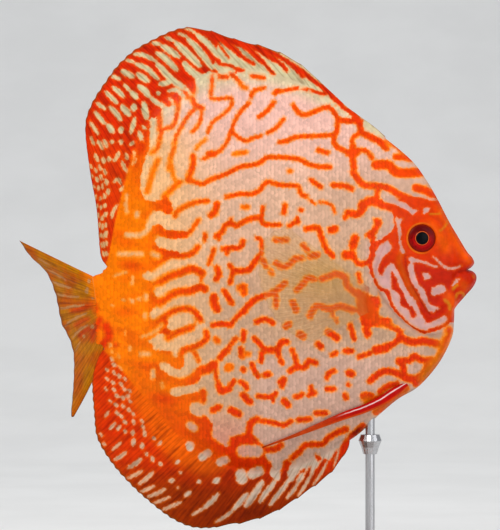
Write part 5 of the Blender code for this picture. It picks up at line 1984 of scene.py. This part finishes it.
def streaks_on(shader, colour, fin):
    """Soft streaks and dark lines that follow the rays of a fin."""
    run = shader.tree.nodes.new("ShaderNodeCombineXYZ")
    shader.feed(run.inputs["X"], shader.attribute("ray"))
    shader.feed(run.inputs["Y"], shader.math("MULTIPLY", shader.attribute("out"), 0.05))
    streak = shader.noise(1.7, 3.0, run.outputs["Vector"], 0.6)
    dark = shader.mix(1.0, colour, paint((208, 196, 190)), "MULTIPLY")
    colour = shader.mix(shader.math("MULTIPLY", shader.ramp(streak, 0.45, 0.7), fin), colour, dark)
    ray = shader.math("SINE", shader.math("MULTIPLY", shader.attribute("ray"), 2 * math.pi * 2))
    line = shader.math("MULTIPLY", shader.ramp(ray, 0.5, 1.0, 0.0, 0.4), fin)
    darker = shader.mix(1.0, colour, paint((186, 160, 150)), "MULTIPLY")
    return shader.mix(line, colour, darker)


def marked_colour(shader, speckle):
    """Ground and line colours, parted by the signed mark value, with a slightly ragged edge."""
    mark = shader.attribute("mark")
    ragged = shader.math("ADD", mark, shader.math("MULTIPLY", shader.math("SUBTRACT", speckle, 0.5), 2.0))
    return shader.mix(shader.ramp(ragged, -0.7, 0.7), shader.attribute("ground", "Color"),
                      shader.attribute("line", "Color"))


def mottled(shader, colour, scale, low, high):
    """The colour made a little darker and lighter in soft patches."""
    shade = shader.grey(shader.ramp(shader.noise(scale, 4.0), 0.3, 0.7, low, high))
    return shader.mix(1.0, colour, shade, "MULTIPLY")


def skin_material():
    shader = Shader("fish_skin", Specular_IOR_Level=0.05, Coat_Weight=0.01, Coat_Roughness=0.2)
    fin = shader.attribute("fin")
    colour = marked_colour(shader, shader.noise(1700.0, 3.0))
    colour = mottled(shader, colour, 420.0, 0.88, 1.08)
    colour = mottled(shader, colour, 90.0, 0.94, 1.05)
    colour = streaks_on(shader, colour, fin)
    colour = shader.mix(shader.ramp(shader.attribute("edge"), 1.1, 0.1, 0.0, 0.8), colour, paint(FIN_RIM))
    shader.set("Base Color", colour)
    rough = shader.ramp(shader.noise(700.0, 3.0), 0.25, 0.75, 0.3, 0.48)
    shader.set("Roughness", shader.math("ADD", rough, shader.math("MULTIPLY", fin, 0.2)))
    segments = shader.math("SINE", shader.math("MULTIPLY", shader.attribute("out"), 2 * math.pi / 0.55))
    fine = shader.math("MULTIPLY", shader.math("MULTIPLY", segments, fin), 0.25)
    pores = shader.noise(1500.0, 3.0)
    shader.bump(shader.math("ADD", pores, fine), 0.35, 0.00012)
    return shader.material


def scale_material():
    shader = Shader("fish_scales", Specular_IOR_Level=0.06, Coat_Weight=0.01, Coat_Roughness=0.15)
    colour = marked_colour(shader, shader.noise(1700.0, 3.0))
    tint = shader.grey(shader.ramp(shader.attribute("tint"), -1.0, 1.0, 0.88, 1.1))
    colour = shader.mix(1.0, colour, tint, "MULTIPLY")
    colour = mottled(shader, colour, 160.0, 0.93, 1.06)
    # Painted shading of the scale relief: lighter middles and darker rear edges.
    rim = shader.grey(shader.ramp(shader.attribute("rim"), 0.1, 1.0, 1.05, 0.94))
    colour = shader.mix(1.0, colour, rim, "MULTIPLY")
    shader.set("Base Color", colour)
    shader.set("Roughness", shader.ramp(shader.noise(900.0, 2.0), 0.3, 0.7, 0.28, 0.42))
    rings = shader.noise(3200.0, 1.0)
    shader.bump(rings, 0.2, 0.00006)
    return shader.material


def eye_material():
    shader = Shader("fish_eye", Roughness=0.3, Specular_IOR_Level=0.06, Coat_Weight=0.02,
                    Coat_Roughness=0.05)
    radius = shader.attribute("radius")
    uneven = shader.math("MULTIPLY", shader.math("SUBTRACT", shader.noise(500.0, 3.0), 0.5), 0.5)
    edge = shader.math("ADD", radius, uneven)
    streaks = shader.noise(900.0, 3.0, shader.stretched((1.0, 0.2, 1.0)))
    # Painted shade: the iris is darker towards the top.
    red = shader.mix(shader.ramp(shader.attribute("height"), -0.35, 0.55), paint((156, 3, 3)),
                     paint((98, 4, 5)))
    red = shader.mix(shader.ramp(streaks, 0.45, 0.7, 0.0, 0.5), red, paint((80, 0, 3)))
    # Painted light: a brighter crescent in the iris below the pupil.
    painted_light_below_pupil = shader.math("MULTIPLY", shader.ramp(radius, 2.4, 3.0), shader.ramp(radius, 3.7, 3.1))
    painted_light_below_pupil = shader.math("MULTIPLY", painted_light_below_pupil, shader.ramp(shader.attribute("height"), 0.4, -0.3))
    red = shader.mix(shader.math("MULTIPLY", painted_light_below_pupil, 0.5), red, paint((206, 14, 10)))
    colour = shader.mix(shader.ramp(edge, 4.1, 4.7), red, paint((120, 20, 4)))
    colour = shader.mix(shader.ramp(radius, 2.58, 2.42, 0.0, 0.85), colour, paint((240, 104, 40)))
    colour = shader.mix(shader.ramp(radius, 2.36, 2.24), colour, (0.002, 0.002, 0.003, 1.0))
    shader.set("Base Color", colour)
    return shader.material


def clear_fin_material():
    shader = Shader("clear_fin", Specular_IOR_Level=0.1, Roughness=0.4)
    ray = shader.math("COSINE", shader.math("MULTIPLY", shader.attribute("ray"), 4 * math.pi))
    on_ray = shader.ramp(ray, 0.4, 0.95)
    root = shader.ramp(shader.attribute("out"), 0.16, 0.0)
    tint = shader.mix(on_ray, paint((196, 146, 50)), paint((226, 178, 110)))
    tint = mottled(shader, tint, 300.0, 0.85, 1.05)
    tint = shader.mix(root, tint, paint((226, 84, 6)))
    shader.set("Base Color", tint)
    sheet = shader.ramp(on_ray, 0.0, 1.0, 0.12, 0.2)
    alpha = shader.math("ADD", sheet, shader.math("MULTIPLY", root, 0.12))
    shader.set("Alpha", shader.math("MINIMUM", alpha, 1.0))
    shader.bump(shader.noise(1500.0, 2.0), 0.15, 0.0001)
    return shader.material


def pelvic_material():
    shader = Shader("pelvic_fin", Specular_IOR_Level=0.05, Coat_Weight=0.02, Coat_Roughness=0.25)
    across = shader.attribute("across")
    out = shader.attribute("out")
    uneven = shader.math("ADD", across, shader.math("MULTIPLY", shader.math(
        "SUBTRACT", shader.noise(500.0, 2.0), 0.5), 0.12))
    red = shader.mix(shader.ramp(out, 0.35, 0.7), paint((186, 8, 2)), paint((190, 60, 6)))
    red = shader.mix(shader.ramp(across, -0.2, -0.48, 0.0, 0.7), red, paint((226, 96, 20)))
    line = shader.math("MULTIPLY", shader.ramp(uneven, 0.1, 0.18), shader.ramp(uneven, 0.3, 0.22))
    line = shader.math("MULTIPLY", line, shader.ramp(out, 0.52, 0.36))
    colour = shader.mix(line, red, paint((244, 206, 204)))
    colour = mottled(shader, colour, 420.0, 0.85, 1.08)
    shader.set("Base Color", colour)
    shader.set("Roughness", shader.ramp(shader.noise(700.0, 3.0), 0.3, 0.7, 0.32, 0.48))
    shader.bump(shader.noise(1500.0, 3.0), 0.3, 0.0001)
    return shader.material


def wood_material():
    shader = Shader("stand_wood", IOR=1.5, Coat_Weight=0.25, Coat_Roughness=0.2)
    grain = shader.stretched((6.0, 90.0, 60.0))
    bands = shader.noise(3.0, 6.0, grain, 0.6)
    fibres = shader.noise(40.0, 4.0, shader.stretched((4.0, 120.0, 120.0)), 0.6)
    colour = shader.mix(shader.ramp(bands, 0.35, 0.65), paint((122, 78, 44)), paint((84, 50, 28)))
    colour = shader.mix(shader.ramp(fibres, 0.4, 0.7, 0.0, 0.5), colour, paint((62, 36, 20)))
    shader.set("Base Color", colour)
    shader.set("Roughness", shader.ramp(fibres, 0.3, 0.7, 0.32, 0.5))
    shader.bump(fibres, 0.15, 0.0002)
    return shader.material


def steel_material():
    shader = Shader("stand_steel", Metallic=1.0)
    brushed = shader.noise(60.0, 5.0, shader.stretched((60.0, 60.0, 2.0)), 0.7)
    colour = shader.mix(shader.ramp(brushed, 0.3, 0.7), paint((176, 176, 178)), paint((206, 206, 208)))
    shader.set("Base Color", colour)
    shader.set("Roughness", shader.ramp(brushed, 0.3, 0.7, 0.2, 0.36))
    shader.bump(brushed, 0.1, 0.00005)
    return shader.material


def floor_material():
    shader = Shader("floor", Roughness=0.85)
    colour = shader.mix(shader.ramp(shader.noise(14.0, 4.0), 0.3, 0.7), (0.80, 0.80, 0.79, 1.0),
                        (0.84, 0.84, 0.83, 1.0))
    shader.set("Base Color", colour)
    return shader.material


# Room, lights and camera.


def build_floor():
    """A pale floor that curves up into a backdrop."""
    profile = [(-1.6, 0.0), (0.6, 0.0)]
    for step in range(1, 25):
        angle = math.radians(90 * step / 24)
        profile.append((0.6 + 1.2 * math.sin(angle), 1.2 - 1.2 * math.cos(angle)))
    profile.append((1.8, 3.0))
    verts = [(x, y, z) for x in (-2.6, 2.6) for y, z in profile]
    count = len(profile)
    faces = [(i, i + count, i + count + 1, i + 1) for i in range(count - 1)]
    mesh = bpy.data.meshes.new("floor")
    mesh.from_pydata(verts, [], faces)
    mesh.shade_smooth()
    mesh.materials.append(floor_material())
    floor = bpy.data.objects.new("floor", mesh)
    bpy.context.scene.collection.objects.link(floor)


def add_area(name, place, target, size, power, colour=(1.0, 1.0, 1.0)):
    lamp = bpy.data.lights.new(name, "AREA")
    lamp.shape = "SQUARE"
    lamp.size = size
    lamp.energy = power
    lamp.color = colour
    made = bpy.data.objects.new(name, lamp)
    made.location = place
    made.rotation_euler = (Vector(target) - Vector(place)).to_track_quat("-Z", "Y").to_euler()
    bpy.context.scene.collection.objects.link(made)


def build_lights():
    middle = (-0.01, 0.0, 0.12)
    add_area("key", (-0.45, -0.75, 0.85), middle, 0.55, 6.0, (1.0, 0.98, 0.95))
    add_area("fill", (0.75, -0.75, 0.35), middle, 0.8, 4.0, (0.97, 0.98, 1.0))
    add_area("top", (0.1, 0.25, 0.95), middle, 0.6, 2.6)
    add_area("backdrop", (0.0, 0.75, 1.3), (0.0, 1.6, 0.35), 1.2, 4.0)
    world = bpy.data.worlds.new("room")
    world.use_nodes = True
    sky = world.node_tree.nodes["Background"]
    sky.inputs["Color"].default_value = (0.92, 0.95, 1.0, 1.0)
    sky.inputs["Strength"].default_value = 0.4
    bpy.context.scene.world = world


def build_camera():
    lens = bpy.data.cameras.new("camera")
    lens.lens = 188.7
    lens.sensor_width = 36.0
    camera = bpy.data.objects.new("camera", lens)
    camera.location = (-0.0144, -1.0, 0.1206)
    camera.rotation_euler = (math.pi / 2, 0.0, 0.0)
    bpy.context.scene.collection.objects.link(camera)
    bpy.context.scene.camera = camera


def finish_stand():
    wood = wood_material()
    steel = steel_material()
    for name, material in (("stand_base", wood), ("stand_rod", steel), ("stand_collar", steel)):
        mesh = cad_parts[name].data
        mesh.materials.clear()
        mesh.materials.append(material)
        mesh.shade_smooth()
        mesh.set_sharp_from_angle(angle=math.radians(32.0))


def main():
    build_skin(skin_material())
    build_scales(scale_material())
    eye = eye_material()
    clear = clear_fin_material()
    pelvic = pelvic_material()
    for word, side in (("right", -1), ("left", 1)):
        build_eye("eyeball_" + word, side, eye)
        build_pectoral("pectoral_" + word, side, clear)
        build_pelvic("pelvic_" + word, side, pelvic)
    finish_stand()
    build_floor()
    build_lights()
    build_camera()
    bpy.context.scene.view_settings.view_transform = "Standard"


main()
